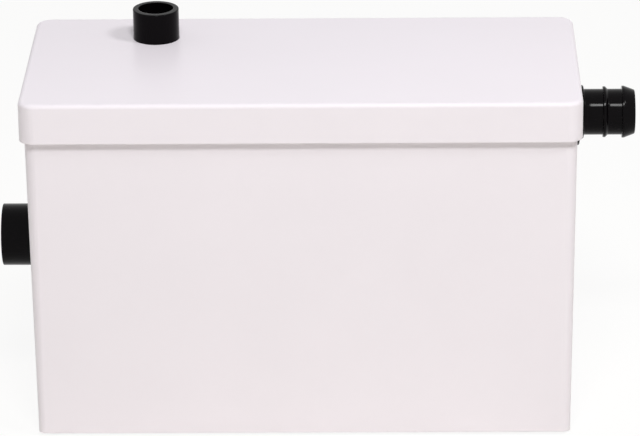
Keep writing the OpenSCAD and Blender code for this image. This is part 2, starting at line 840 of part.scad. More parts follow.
module side_inlet_stub() {
    tube_l = half_w(side_inlet_z) - side_pad_x + side_inlet_reach;
    seat_z = half_w(side_inlet_z + side_inlet_od / 2) - side_pad_x + push_fit;
    ear_h = knuckle_d / 2 + ear_edge;
    pin_room = side_knuckle_w + 2 * (move_gap + ear_t + cut);
    ear_x = side_flap_d / 2 + move_gap;
    color([0.08, 0.08, 0.08]) at_side_inlet() difference() {
        union() {
            translate([0, 0, seat_z])
                rotate_extrude() rounded_edge_half(side_inlet_od / 2, tube_l - seat_z, pipe_rim_r);
            translate([0, 0, -side_seat])
                cylinder(d = side_inlet_od - 2 * neck_step, h = side_seat + seat_z + seam);
            translate([0, 0, -flange_gasket_t - flange_t]) cylinder(d = side_flange_d, h = flange_t);
            for (side = [0, 1])
                mirror([0, side, 0])
                    translate([ear_x, side_knuckle_w / 2 + move_gap, -side_pin_in - ear_h])
                        cube([side_pin_up - ear_x + ear_h, ear_t,
                            side_pin_in + ear_h - flange_gasket_t - flange_t + seam]);
        }
        translate([0, 0, -side_seat - cut]) cylinder(d = side_inlet_bore, h = tube_l + side_seat + 2 * cut);
        translate([side_pin_up, 0, -side_pin_in]) rotate([90, 0, 0])
            cylinder(d = pin_d + 2 * run_fit, h = pin_room, center = true);
        translate([0, 0, -side_seat]) around(4, side_pcd, 45)
            cylinder(d = screw_hole_d, h = side_seat);
    }
}

module side_inlet_gasket() {
    color("dimgray") at_side_inlet() translate([0, 0, -flange_gasket_t]) difference() {
        ring(side_flange_d, side_inlet_od + 2 * push_fit, flange_gasket_t);
        around(4, side_pcd, 45) screw_hole(flange_gasket_t);
    }
}

module side_inlet_screws() {
    color("silver") at_side_inlet() translate([0, 0, -flange_gasket_t - flange_t])
        around(4, side_pcd, 45) rotate([180, 0, 0]) pan_screw(screw_d, side_screw_l);
}

// Disc with an arm to a knuckle; +Z is its wet face and the pin lies along Y
module flap(d, pin_out, pin_up, knuckle_w) {
    difference() {
        union() {
            cylinder(d = d, h = flap_t);
            translate([0, -knuckle_w / 2, 0]) cube([pin_out, knuckle_w, flap_t]);
            translate([pin_out, 0, pin_up]) rotate([90, 0, 0])
                cylinder(d = knuckle_d, h = knuckle_w, center = true);
        }
        translate([pin_out, 0, pin_up]) rotate([90, 0, 0])
            cylinder(d = pin_d + 2 * run_fit, h = knuckle_w + 2 * cut, center = true);
    }
}

module side_inlet_flap() {
    color("darkslategray") at_side_inlet() translate([0, 0, -side_seat - move_gap]) mirror([0, 0, 1])
        flap(side_flap_d, side_pin_up, flap_t / 2, side_knuckle_w);
}

module outlet_hose_tail() {
    r = outlet_od / 2;
    flange_x = outlet_out_x + outlet_gasket_t;
    collar_x = flange_x + outlet_flange_t;
    tube_x = collar_x + outlet_collar_l;
    barb_x = outlet_tip_x - outlet_barb_l;
    ring_x = barb_x - outlet_ring_gap;
    color([0.1, 0.1, 0.1]) facing_right([0, outlet_y, outlet_z]) difference() {
        rotate_extrude() polygon([
            [0, outlet_stub_x], [outlet_thread_d / 2, outlet_stub_x], [outlet_thread_d / 2, flange_x],
            [outlet_flange_d / 2, flange_x], [outlet_flange_d / 2, collar_x],
            [outlet_collar_d / 2, collar_x], [outlet_collar_d / 2, tube_x], [r, tube_x],
            [r, ring_x - outlet_ring_l], [outlet_ring_d / 2, ring_x - outlet_ring_l],
            [outlet_ring_d / 2, ring_x - outlet_ring_l / 2], [r, ring_x],
            [r, barb_x], [outlet_barb_d / 2, barb_x], [outlet_barb_d / 2, barb_x + outlet_crest],
            [outlet_tip_d / 2, outlet_tip_x], [0, outlet_tip_x],
        ]);
        translate([0, 0, outlet_stub_x - cut])
            cylinder(d = outlet_bore, h = outlet_tip_x - outlet_stub_x + 2 * cut);
        translate([0, 0, outlet_stub_x - cut]) cylinder(d = socket_d, h = socket_l + cut);
    }
}

module outlet_gasket() {
    color("dimgray") facing_right([outlet_out_x, outlet_y, outlet_z])
        ring(outlet_flange_d, outlet_thread_d + 2 * push_fit, outlet_gasket_t);
}

module outlet_lock_nut() {
    color([0.12, 0.12, 0.12]) facing_right([outlet_in_x - outlet_nut_t, outlet_y, outlet_z]) difference() {
        cylinder(d = outlet_nut_d, h = outlet_nut_t, $fn = 6);
        translate([0, 0, -cut]) cylinder(d = outlet_thread_d + 2 * push_fit, h = outlet_nut_t + 2 * cut);
    }
}

// Rubber sleeve on the toilet spigot: a plain grip, two folds and a flared free end
module wc_sleeve() {
    grip_r = wc_spigot_od / 2 + push_fit;
    free_r = wc_sleeve_bore / 2;
    stop = 3;
    neck_r = grip_r - stop;
    t = wc_sleeve_wall;
    free_l = 20;
    fold_z = wc_sleeve_grip + stop;
    free_z = wc_sleeve_l - free_l;
    fold_l = (free_z - fold_z) / 4;
    fold_h = 4;
    bead = 2;
    y0 = half_d(wc_z) + wc_spigot_reach - wc_sleeve_grip;
    color([0.15, 0.15, 0.15]) facing_back([0, y0, wc_z]) rotate_extrude() polygon([
        [grip_r, 0], [grip_r, wc_sleeve_grip], [neck_r, wc_sleeve_grip], [neck_r, fold_z],
        [neck_r + fold_h, fold_z + fold_l], [neck_r, fold_z + 2 * fold_l],
        [neck_r + fold_h, fold_z + 3 * fold_l], [free_r, free_z], [free_r, wc_sleeve_l],
        [free_r + t + bead, wc_sleeve_l], [free_r + t + bead, wc_sleeve_l - bead],
        [free_r + t, wc_sleeve_l - 2 * bead], [free_r + t, free_z],
        [neck_r + fold_h + t, fold_z + 3 * fold_l], [neck_r + t, fold_z + 2 * fold_l],
        [neck_r + fold_h + t, fold_z + fold_l], [grip_r + t, fold_z],
        [grip_r + t, 2 * bead], [grip_r + t + bead, bead], [grip_r + t + bead, 0],
    ]);
}

module wc_sleeve_clips() {
    grip_d = wc_spigot_od + 2 * (push_fit + wc_sleeve_wall) + 2 * push_fit;
    free_d = wc_sleeve_bore + 2 * wc_sleeve_wall + 2 * push_fit;
    y0 = half_d(wc_z) + wc_spigot_reach - wc_sleeve_grip;
    color("silver") {
        facing_back([0, y0 + clip_inset, wc_z]) rotate(-125) worm_clip(grip_d, clip_w, clip_t);
        facing_back([0, y0 + wc_sleeve_l - clip_inset - clip_w, wc_z]) rotate(-55)
            worm_clip(free_d, clip_w, clip_t);
    }
}

module cable_gland() {
    thread_l = gland_out_y - gland_in_y + gland_nut_t + gland_thread_over;
    color([0.15, 0.15, 0.15]) facing_back([gland_x, gland_out_y, gland_z]) difference() {
        union() {
            cylinder(d = gland_hex_d, h = gland_hex_t, $fn = 6);
            translate([0, 0, gland_hex_t])
                rotate_extrude() rounded_edge_half(gland_dome_d / 2, gland_dome_l, gland_dome_r);
            translate([0, 0, -thread_l]) cylinder(d = gland_thread_d, h = thread_l + seam);
        }
        translate([0, 0, -thread_l - cut])
            cylinder(d = gland_bore, h = thread_l + gland_hex_t + gland_dome_l + 2 * cut);
    }
}

module gland_lock_nut() {
    color([0.15, 0.15, 0.15]) facing_back([gland_x, gland_in_y - gland_nut_t, gland_z]) difference() {
        cylinder(d = gland_hex_d, h = gland_nut_t, $fn = 6);
        translate([0, 0, -cut]) cylinder(d = gland_thread_d + 2 * push_fit, h = gland_nut_t + 2 * cut);
    }
}

module at_pump(z) {
    translate([0, pump_y, z]) children();
}

module pump_mounts() {
    color("dimgray") at_pump(floor_z) around(4, mount_pcd, 45) cylinder(d = mount_d, h = suction_gap);
}

// Spiral outline of the pump, grown by extra
module volute_outline(extra) {
    polygon([for (a = [0 : volute_step : 360]) volute_point(a, extra)]);
}

module at_pump_bosses() {
    for (a = boss_angles)
        translate(volute_point(a, casing_wall + boss_out)) children();
}

module at_basket_screws() {
    around(basket_screws, basket_screw_pcd, 180 / basket_screws) children();
}

module pump_base() {
    color("darkgray") at_pump(pump_base_z) difference() {
        union() {
            linear_extrude(pump_base_t) volute_outline(casing_wall);
            at_pump_bosses() cylinder(d = boss_d, h = pump_base_t);
        }
        translate([0, 0, -cut]) cylinder(d = eye_d, h = pump_base_t + 2 * cut);
        at_pump_bosses() screw_hole(pump_base_t);
    }
}

module pump_casing() {
    spigot_y = outlet_y - pump_y;
    shaft_room = 2;
    color("gray") at_pump(casing_z) difference() {
        union() {
            linear_extrude(casing_h) volute_outline(casing_wall);
            at_pump_bosses() cylinder(d = boss_d, h = casing_h);
            facing_right([0, spigot_y, casing_h / 2]) cylinder(d = spigot_od, h = spigot_end);
        }
        translate([0, 0, -cut]) linear_extrude(chamber_h + cut) volute_outline(0);
        facing_right([0, spigot_y, casing_h / 2]) cylinder(d = spigot_bore, h = spigot_end + cut);
        cylinder(d = shaft_d + 2 * shaft_room, h = casing_h + cut);
        translate([0, 0, -cut]) at_pump_bosses() cylinder(d = screw_hole_d, h = pump_screw_l + cut);
        translate([0, 0, chamber_h]) at_basket_screws() screw_hole(casing_top_t);
    }
}

// Four screws hold the base from below, and four like them hold the basket's floor
module pump_screws() {
    color("silver") {
        at_pump(pump_base_z) at_pump_bosses() rotate([180, 0, 0]) pan_screw(screw_d, pump_screw_l);
        at_pump(casing_top_z + basket_floor_t) at_basket_screws() pan_screw(screw_d, basket_screw_l);
    }
}

module impeller() {
    plate_t = 3;
    vane_t = 2.5;
    arc_r = impeller_r / 2 - vane_t / 2;
    arc = 130;
    vane_h = impeller_h - plate_t;
    color("black") at_pump(impeller_z) difference() {
        union() {
            cylinder(d = impeller_hub_d, h = impeller_h);
            translate([0, 0, vane_h]) cylinder(r = impeller_r, h = plate_t);
            around(impeller_vanes, 2 * arc_r)
                rotate_extrude(angle = arc) translate([arc_r - vane_t / 2, 0])
                    square([vane_t, vane_h + seam]);
        }
        translate([0, 0, -cut]) cylinder(d = shaft_d + 2 * push_fit, h = impeller_h + 2 * cut);
    }
}

module impeller_nut() {
    color("silver") at_pump(impeller_z - nut_h) difference() {
        cylinder(d = nut_d, h = nut_h, $fn = 6);
        translate([0, 0, -cut]) cylinder(d = shaft_d + 2 * push_fit, h = nut_h + 2 * cut);
    }
}

module macerator_basket() {
    h = basket_top_z - casing_top_z;
    slot_h = h - basket_floor_t - 2 * basket_slot_margin;
    shaft_room = 4;
    hole_pcd = basket_od - 2 * (basket_wall + basket_hole_edge) - basket_hole_d;
    color("lightgray") at_pump(casing_top_z) difference() {
        cylinder(d = basket_od, h = h);
        translate([0, 0, basket_floor_t]) cylinder(d = basket_od - 2 * basket_wall, h = h);
        translate([0, 0, -cut]) cylinder(d = shaft_d + 2 * shaft_room, h = basket_floor_t + 2 * cut);
        around(basket_holes, hole_pcd, 180 / basket_holes) translate([0, 0, -cut])
            cylinder(d = basket_hole_d, h = basket_floor_t + 2 * cut);
        around(basket_slots, basket_od)
            translate([-2 * basket_wall, -basket_slot_w / 2, basket_floor_t + basket_slot_margin])
                cube([4 * basket_wall, basket_slot_w, slot_h]);
        at_basket_screws() screw_hole(basket_floor_t);
    }
}

module cutter_knife() {
    root_w = 20;
    tip_w = 11;
    sweep = 6;
    color("silver") at_pump(0) difference() {
        union() {
            translate([0, 0, knife_hub_z]) cylinder(d = knife_hub_d, h = knife_hub_h);
            for (a = [0, 180])
                rotate(a) translate([0, 0, knife_z]) linear_extrude(knife_t) polygon([
                    [0, -root_w / 2], [knife_r, -tip_w / 2 - sweep], [knife_r, tip_w / 2 - sweep],
                    [0, root_w / 2],
                ]);
        }
        translate([0, 0, knife_hub_z - cut])
            cylinder(d = shaft_d + 2 * push_fit, h = knife_hub_h + 2 * cut);
    }
}

// Moulded hose from the pump's spigot up to the check valve's spigot
module riser_run(d, over) {
    bend_z = spigot_z + hose_bend;
    top_z = valve_spigot_z + hose_grip;
    facing_right([spigot_end - hose_grip - over, outlet_y, spigot_z]) cylinder(d = d, h = hose_grip + over);
    quarter_bend([spigot_end, outlet_y, bend_z], 270, hose_bend, d);
    translate([riser_x, outlet_y, bend_z]) cylinder(d = d, h = top_z - bend_z + over);
}

module riser_hose() {
    color([0.2, 0.2, 0.2]) difference() {
        riser_run(hose_od, 0);
        riser_run(hose_bore, cut);
    }
}

module hose_clips() {
    bore = hose_od + 2 * push_fit;
    color("silver") {
        facing_right([spigot_end - hose_grip + clip_inset, outlet_y, spigot_z]) rotate(90)
            worm_clip(bore, clip_w, clip_t);
        translate([riser_x, outlet_y, valve_spigot_z + hose_grip - clip_inset - clip_w])
            worm_clip(bore, clip_w, clip_t);
    }
}

module at_riser(z) {
    translate([riser_x, outlet_y, z]) children();
}

module at_valve_screws() {
    around(valve_screws, valve_pcd, 180 / valve_screws) children();
}

module check_valve_body() {
    ear_h = valve_pin_z - valve_floor_z;
    ear_w = knuckle_d - 2 * knuckle_bite;
    pin_room = valve_knuckle_w + 2 * (move_gap + ear_t) + cut;
    color("gray") at_riser(0) difference() {
        union() {
            translate([0, 0, valve_floor_z - valve_wall])
                ring(valve_od, valve_bore, valve_h + valve_wall);
            translate([0, 0, valve_floor_z - valve_wall])
                cylinder(d = valve_bore + valve_wall, h = valve_wall);
            translate([0, 0, valve_floor_z - seam])
                cylinder(d = spigot_bore + 2 * valve_seat_w, h = valve_seat_h + seam);
            translate([0, 0, valve_spigot_z])
                cylinder(d = spigot_od, h = valve_floor_z - valve_spigot_z - seam);
            translate([0, 0, valve_top_z - valve_flange_t])
                ring(valve_flange_d, valve_bore, valve_flange_t);
            for (side = [0, 1])
                mirror([0, side, 0]) translate([valve_pin_x, valve_knuckle_w / 2 + move_gap, 0]) {
                    translate([-ear_w / 2, 0, valve_floor_z - seam]) cube([ear_w, ear_t, ear_h + seam]);
                    facing_back([0, 0, valve_pin_z]) cylinder(d = knuckle_d, h = ear_t);
                }
        }
        translate([0, 0, valve_spigot_z - cut])
            cylinder(d = spigot_bore, h = valve_floor_z + valve_seat_h - valve_spigot_z + 2 * cut);
        translate([valve_pin_x, 0, valve_pin_z]) rotate([90, 0, 0])
            cylinder(d = pin_d + 2 * run_fit, h = pin_room, center = true);
        translate([0, 0, valve_top_z - valve_flange_t]) at_valve_screws() screw_hole(valve_flange_t);
    }
}

module check_valve_flap() {
    seat_z = valve_floor_z + valve_seat_h + move_gap;
    color("darkslategray") at_riser(seat_z) rotate(180)
        flap(valve_flap_d, -valve_pin_x, valve_pin_z - seat_z, valve_knuckle_w);
}

module check_valve_screws() {
    color("silver") at_riser(valve_top_z + valve_flange_t) at_valve_screws()
        pan_screw(screw_d, 2 * valve_flange_t);
}

module flap_pins() {
    side_l = side_knuckle_w + 2 * (move_gap + ear_t);
    valve_l = valve_knuckle_w + 2 * (move_gap + ear_t);
    color("silver") {
        at_side_inlet() translate([side_pin_up, 0, -side_pin_in]) rotate([90, 0, 0])
            cylinder(d = pin_d, h = side_l, center = true);
        at_riser(0) translate([valve_pin_x, 0, valve_pin_z]) rotate([90, 0, 0])
            cylinder(d = pin_d, h = valve_l, center = true);
    }
}

// Elbow from the check valve's flange to the socket in the outlet
module elbow_run(d, over) {
    bend_z = outlet_z - elbow_bend;
    end_x = outlet_stub_x + socket_l - socket_end_gap;
    at_riser(valve_top_z - over) cylinder(d = d, h = bend_z - valve_top_z + over);
    quarter_bend([riser_x + elbow_bend, outlet_y, bend_z], 90, elbow_bend, d);
    facing_right([riser_x + elbow_bend, outlet_y, outlet_z])
        cylinder(d = d, h = end_x - riser_x - elbow_bend + over);
}

module discharge_elbow() {
    color("gray") difference() {
        union() {
            elbow_run(elbow_tube_d, 0);
            at_riser(valve_top_z) cylinder(d = valve_flange_d, h = valve_flange_t);
        }
        elbow_run(spigot_bore, cut);
        at_riser(valve_top_z) at_valve_screws() screw_hole(valve_flange_t);
    }
}

module motor_bottle() {
    seat_d = bearing_od + 2 * push_fit;
    body_h = bridge_top_z - bottle_z;
    color("silver") at_pump(bottle_z) difference() {
        union() {
            difference() {
                union() {
                    cylinder(d = bottle_od, h = body_h + seam);
                    translate([0, 0, body_h]) cylinder(d = bottle_flange_d, h = bottle_flange_t);
                }
                translate([0, 0, bottle_floor_t]) cylinder(d = bottle_bore, h = body_h + bottle_flange_t);
            }
            translate([0, 0, bottle_floor_t - seam])
                cylinder(d = seat_d + 2 * seat_wall, h = bearing_h + seam);
        }
        translate([0, 0, bottle_floor_t]) cylinder(d = seat_d, h = bearing_h + cut);
        translate([0, 0, -cut]) cylinder(d = seal_seat_od + 2 * push_fit, h = bottle_floor_t + 2 * cut);
        translate([0, 0, body_h]) around(4, cap_pcd) screw_hole(bottle_flange_t);
    }
}

module motor_cap() {
    seat_d = bearing_od + 2 * push_fit;
    boss_z = upper_bearing_z - cap_z;
    dome_edge_r = 4;
    color("darkgray") at_pump(cap_z) difference() {
        union() {
            difference() {
                union() {
                    cylinder(d = bottle_flange_d, h = cap_flange_t);
                    rotate_extrude() rounded_edge_half(cap_dome_d / 2, cap_h, dome_edge_r);
                    rotate(lead_angle) translate([cap_dome_d / 2 - dome_edge_r, 0, lead_z - cap_z])
                        rotate([0, 90, 0])
                            cylinder(d = lead_d + 2 * lead_boss_wall, h = lead_stub_l + dome_edge_r);
                }
                translate([0, 0, -cut]) cylinder(d = cap_dome_d - 2 * cap_t, h = cap_h - cap_t + cut);
            }
            translate([0, 0, boss_z])
                cylinder(d = seat_d + 2 * seat_wall, h = cap_h - cap_t - boss_z + seam);
        }
        translate([0, 0, boss_z - cut]) cylinder(d = seat_d, h = bearing_h + cut);
        translate([0, 0, boss_z]) cylinder(d = bearing_od - 2 * bearing_ring, h = cap_h - cap_t - boss_z);
        rotate(lead_angle) translate([cap_dome_d / 4, 0, lead_z - cap_z]) rotate([0, 90, 0])
            cylinder(d = lead_hole_d, h = cap_dome_d);
        around(4, cap_pcd) screw_hole(cap_flange_t);
    }
}

module motor_cap_seal() {
    color("black") at_pump(cap_z - cap_seal_t) difference() {
        ring(bottle_flange_d, bottle_bore, cap_seal_t);
        around(4, cap_pcd) screw_hole(cap_seal_t);
    }
}

module motor_cap_screws() {
    color("silver") at_pump(cap_z + cap_flange_t) around(4, cap_pcd) pan_screw(screw_d, cap_screw_l);
}

module at_bell_screws() {
    around(bell_screws, bell_pcd, bell_start) children();
}

// Plate across the tank that the motor and the control box stand on
module motor_bridge() {
    side = inner_d(bridge_z) - bridge_room;
    right = inner_w(bridge_z) - bridge_room;
    arm_back = box_y + box_d / 2 + bridge_arm_edge;
    color("gainsboro") translate([0, 0, bridge_z]) difference() {
        union() {
            translate([-bridge_half, -side, 0]) cube([2 * bridge_half, 2 * side, bridge_t]);
            translate([0, -side, 0]) cube([right, arm_back + side, bridge_t]);
        }
        translate([0, pump_y, -cut]) cylinder(d = bottle_od + 2 * push_fit, h = bridge_t + 2 * cut);
        translate([0, pump_y, 0]) around(4, cap_pcd) screw_hole(bridge_t);
        at_bridge_screws() screw_hole(bridge_t);
        translate([bell_x, bell_y, -cut]) cylinder(d = plunger_hole_d, h = bridge_t + 2 * cut);
        translate([bell_x, bell_y, 0]) at_bell_screws() screw_hole(bridge_t);
    }
}

// Five screws hold the bridge, and three like them hold the pressure bell under the control box
module bridge_screws() {
    color("silver") {
        translate([0, 0, bridge_top_z]) at_bridge_screws() pan_screw(screw_d, bridge_screw_l);
        translate([bell_x, bell_y, box_z + box_wall]) at_bell_screws()
            pan_screw(screw_d, box_wall + bridge_t + diaphragm_t + bell_flange_t);
    }
}

// Slots open to the stator's bore, grown on every side by extra
module stator_slot(length, extra) {
    translate([stator_bore / 2 - cut, -slot_w / 2 - extra, 0])
        cube([slot_depth + cut + extra, slot_w + 2 * extra, length]);
}

module stator_core() {
    color("slategray") at_pump(stator_z) difference() {
        ring(stator_od, stator_bore, stator_h);
        translate([0, 0, -cut]) for (i = [0 : stator_slots - 1])
            rotate(i * 360 / stator_slots) stator_slot(stator_h + 2 * cut, push_fit);
    }
}

module stator_windings() {
    coil_bore = stator_bore + 2 * coil_inset;
    coil_od = stator_bore + 2 * slot_depth;
    color("chocolate") at_pump(stator_z) difference() {
        union() {
            translate([0, 0, -end_turn_h]) ring(coil_od, coil_bore, end_turn_h);
            translate([0, 0, stator_h]) ring(coil_od, coil_bore, end_turn_h);
            for (i = [0 : stator_slots - 1])
                rotate(i * 360 / stator_slots) translate([0, 0, -seam]) stator_slot(stator_h + 2 * seam, 0);
        }
        translate([0, 0, -end_turn_h - cut])
            cylinder(d = coil_bore, h = stator_h + 2 * end_turn_h + 2 * cut);
    }
}

module rotor_core() {
    end_ring_h = 6;
    end_ring_t = 8;
    end_ring_d = rotor_d - 2;
    color("lightslategray") at_pump(stator_z) {
        ring(rotor_d, shaft_d + 2 * push_fit, stator_h);
        for (z = [-end_ring_h, stator_h])
            translate([0, 0, z - (z > 0 ? seam : 0)])
                ring(end_ring_d, end_ring_d - 2 * end_ring_t, end_ring_h + seam);
    }
}

module shaft() {
    slot_w = 1.6;
    slot_h = 2;
    color("silver") at_pump(shaft_end_z) difference() {
        cylinder(d = shaft_d, h = shaft_top_z - shaft_end_z);
        translate([-shaft_d, -slot_w / 2, shaft_top_z - shaft_end_z - slot_h])
            cube([2 * shaft_d, slot_w, slot_h + cut]);
    }
}

module at_bearings() {
    for (z = [lower_bearing_z, upper_bearing_z])
        at_pump(z) children();
}

// Outer rings of both bearings, with the balls that run in them
module ball_bearings() {
    color("silver") at_bearings() {
        rotate_extrude() difference() {
            translate([bearing_od / 2 - bearing_ring, 0]) square([bearing_ring, bearing_h]);
            translate([bearing_pitch / 2, bearing_h / 2]) circle(race_r);
        }
        around(balls, bearing_pitch) translate([0, 0, bearing_h / 2]) sphere(ball_r);
    }
}

module bearing_inner_rings() {
    bore_r = shaft_d / 2 + push_fit / 2;
    color("silver") at_bearings() rotate_extrude() difference() {
        translate([bore_r, 0]) square([bearing_ring, bearing_h]);
        translate([bearing_pitch / 2, bearing_h / 2]) circle(race_r);
    }
}

module seal_seat() {
    color("white") at_pump(bottle_z) ring(seal_seat_od, seal_seat_bore, bottle_floor_t - seal_seat_sunk);
}

// Turning half of the shaft seal: a face ring, a waist and a drive collar on the knife's hub
module seal_head() {
    z0 = knife_hub_z + knife_hub_h;
    h = bottle_z - move_gap - z0;
    face_h = 5;
    collar_h = 4;
    waist = 2.5;
    r = seal_seat_od / 2 - 2;
    bore_r = shaft_d / 2 + push_fit;
    color("dimgray") at_pump(z0) rotate_extrude() polygon([
        [bore_r, 0], [r, 0], [r, collar_h], [r - waist, collar_h + waist],
        [r - waist, h - face_h - waist], [r, h - face_h], [r, h], [bore_r, h],
    ]);
}

// Tube swept along a list of points
module tube_along(points, d, sides) {
    last = len(points) - 1;
    function unit(v) = v / norm(v);
    function ahead(i) = unit(points[min(i + 1, last)] - points[max(i - 1, 0)]);
    function side_of(t) = unit(cross([0, 0, 1], t));
    rings = [
        for (i = [0 : last], k = [0 : sides - 1])
            let (t = ahead(i), s = side_of(t), u = cross(t, s), a = k * 360 / sides)
                points[i] + d / 2 * (cos(a) * s + sin(a) * u)
    ];
    walls = [
        for (i = [0 : last - 1], k = [0 : sides - 1])
            let (n = (k + 1) % sides, a = i * sides, b = a + sides)
                each [[a + k, b + k, b + n], [a + k, b + n, a + n]]
    ];
    ends = [
        for (k = [1 : sides - 2])
            each [[0, k, k + 1], [last * sides, last * sides + k + 1, last * sides + k]]
    ];
    polyhedron(rings, concat(walls, ends));
}

// Lead from the motor cap to the control box
module motor_lead() {
    color([0.15, 0.15, 0.15]) tube_along(lead_points, lead_d, lead_sides);
}

module control_box() {
    inner_wd = [box_w - 2 * box_wall, box_d - 2 * box_wall];
    floor_top = box_z + box_wall;
    guide_leg = 3;
    guide_l = plunger_hole_d + 2 * guide_leg;
    back_x = bell_x - lever_arm - switch_back_left;
    back_y = bell_y + switch_w / 2;
    back_t = 3;
    back_l = lever_arm + 2 * switch_back_left;
    color([0.25, 0.25, 0.27]) difference() {
        union() {
            translate([box_x - box_w / 2, box_y - box_d / 2, box_z]) difference() {
                cube([box_w, box_d, box_h]);
                translate([box_wall, box_wall, box_wall]) cube([inner_wd.x, inner_wd.y, box_h]);
            }
            at_box_corners() translate([0, 0, box_z]) cylinder(d = box_boss_d, h = box_h);
            translate([bell_x - guide_l / 2, bell_y - guide_w / 2, guide_z])
                cube([guide_l, guide_w, guide_t]);
            for (x = [-guide_l / 2, guide_l / 2 - guide_leg])
                translate([bell_x + x, bell_y - guide_w / 2, floor_top - seam])
                    cube([guide_leg, guide_w, guide_z - floor_top + 2 * seam]);
            translate([back_x, back_y, guide_z]) cube([back_l, back_t, box_top_z - guide_z]);
            translate([back_x, back_y, floor_top - seam])
                cube([guide_leg, back_t, guide_z - floor_top + 2 * seam]);
            at_board_posts() cylinder(d = post_d, h = post_h + seam);
            for (x = saddle_places)
                translate([capacitor_x + x - saddle_w / 2, capacitor_y - capacitor_d / 2, floor_top - seam])
                    cube([saddle_w, capacitor_d, capacitor_d / 2 + seam]);
        }
        translate([bell_x, bell_y, box_z - cut]) {
            cylinder(d = plunger_hole_d, h = box_wall + 2 * cut);
            cylinder(d = stem_d + 2 * run_fit, h = box_h);
        }
        translate([bell_x, bell_y, box_z]) at_bell_screws() screw_hole(box_wall);
        facing_right([capacitor_x - cut, capacitor_y, floor_top + capacitor_d / 2 + push_fit])
            cylinder(d = capacitor_d + 2 * push_fit, h = capacitor_l + 2 * cut);
        facing_right([box_x - box_w / 2 - cut, box_y, lead_z])
            cylinder(d = lead_hole_d, h = box_wall + 2 * cut);
        at_box_corners() translate([0, 0, box_top_z - box_hole_l])
            cylinder(d = small_hole_d, h = box_hole_l + cut);
    }
}

module at_box_corners() {
    inset = box_wall + small_screw_d;
    for (x = [-1, 1], y = [-1, 1])
        translate([box_x + x * (box_w / 2 - inset), box_y + y * (box_d / 2 - inset), 0]) children();
}

module at_board_posts() {
    inset = 9;
    for (x = [inset, board_w - inset], y = [inset, board_d - inset])
        translate([board_x + x, board_y + y, box_z + box_wall - seam]) children();
}

module control_box_cover() {
    lip_t = 1.5;
    hollow_w = box_w - 2 * (box_wall + lip_t);
    hollow_d = box_d - 2 * (box_wall + lip_t);
    color([0.25, 0.25, 0.27]) difference() {
        translate([box_x - box_w / 2, box_y - box_d / 2, box_top_z]) cube([box_w, box_d, cover_t]);
        translate([box_x - hollow_w / 2, box_y - hollow_d / 2, box_top_z - cut])
            cube([hollow_w, hollow_d, cover_lip + cut]);
        at_box_corners() translate([0, 0, box_top_z - cut])
            cylinder(d = small_hole_d, h = cover_t + 2 * cut);
    }
}

module control_box_screws() {
    grip = 5;
    color("silver") at_box_corners() translate([0, 0, box_top_z + cover_t])
        pan_screw(small_screw_d, cover_t + grip);
}

module circuit_board() {
    edge = 1;
    relay = [16, 13, 11];
    relay_place = [4, board_d - relay.y - edge];
    terminal = [20, 8, 8];
    terminal_place = [3, edge];
    z = box_z + box_wall + post_h;
    color("darkgreen") translate([board_x, board_y, z]) {
        cube([board_w, board_d, board_t]);
        translate([relay_place.x, relay_place.y, board_t - seam]) cube(relay);
        translate([terminal_place.x, terminal_place.y, board_t - seam]) cube(terminal);
    }
}

module run_capacitor() {
    tab = [2, 0.8, 3];
    tab_apart = 4;
    z = box_z + box_wall + capacitor_d / 2 + push_fit;
    color("whitesmoke") facing_right([capacitor_x, capacitor_y, z]) {
        cylinder(d = capacitor_d, h = capacitor_l);
        for (y = [-tab_apart, tab_apart])
            translate([-tab.x / 2, y - tab.y / 2, capacitor_l - seam]) cube([tab.x, tab.y, tab.z + seam]);
    }
}

// Dip tube whose trapped air lifts the diaphragm as the waste rises
module pressure_bell() {
    tube_z = floor_z + bell_gap;
    chamber_z = bell_top_z - bell_flange_t - bell_chamber_h;
    neck_h = 8;
    r = bell_chamber_d / 2;
    tube_r = bell_tube_d / 2;
    w = bell_wall;
    color([0.2, 0.2, 0.2]) translate([bell_x, bell_y, 0]) difference() {
        rotate_extrude() polygon([
            [tube_r - w, tube_z], [tube_r, tube_z], [tube_r, chamber_z - neck_h], [r, chamber_z],
            [r, bell_top_z - bell_flange_t], [bell_flange_d / 2, bell_top_z - bell_flange_t],
            [bell_flange_d / 2, bell_top_z], [r - w, bell_top_z], [r - w, chamber_z],
            [tube_r - w, chamber_z - neck_h],
        ]);
        translate([0, 0, bell_top_z - bell_flange_t]) at_bell_screws() screw_hole(bell_flange_t);
    }
}

module switch_diaphragm() {
    color("black") translate([bell_x, bell_y, bell_top_z]) difference() {
        cylinder(d = bell_flange_d, h = diaphragm_t);
        at_bell_screws() screw_hole(diaphragm_t);
    }
}

module switch_plunger() {
    stem_top = stem_top_z - stem_d / 2;
    color("whitesmoke") translate([bell_x, bell_y, 0]) {
        translate([0, 0, plunger_z]) cylinder(d = plunger_d, h = plunger_t);
        translate([0, 0, plunger_z]) cylinder(d = stem_d, h = stem_top - plunger_z);
        translate([0, 0, stem_top]) sphere(d = stem_d);
    }
}

// Return spring between the plunger's disc and its guide, one unbroken coil
module plunger_spring() {
    rings_per_turn = 12;
    sides = 6;
    z0 = plunger_z + plunger_t + spring_wire / 2 + spring_gap;
    z1 = guide_z - spring_wire / 2 - spring_gap;
    r = spring_d / 2 - spring_wire / 2;
    count = spring_turns * rings_per_turn;
    points = [
        for (i = [0 : count])
            let (a = i * 360 / rings_per_turn)
                [r * cos(a), r * sin(a), z0 + (z1 - z0) * i / count]
    ];
    echo("least gap between the spring's turns", (z1 - z0) / spring_turns - spring_wire);
    color("silver") translate([bell_x, bell_y, 0]) tube_along(points, spring_wire, sides);
}

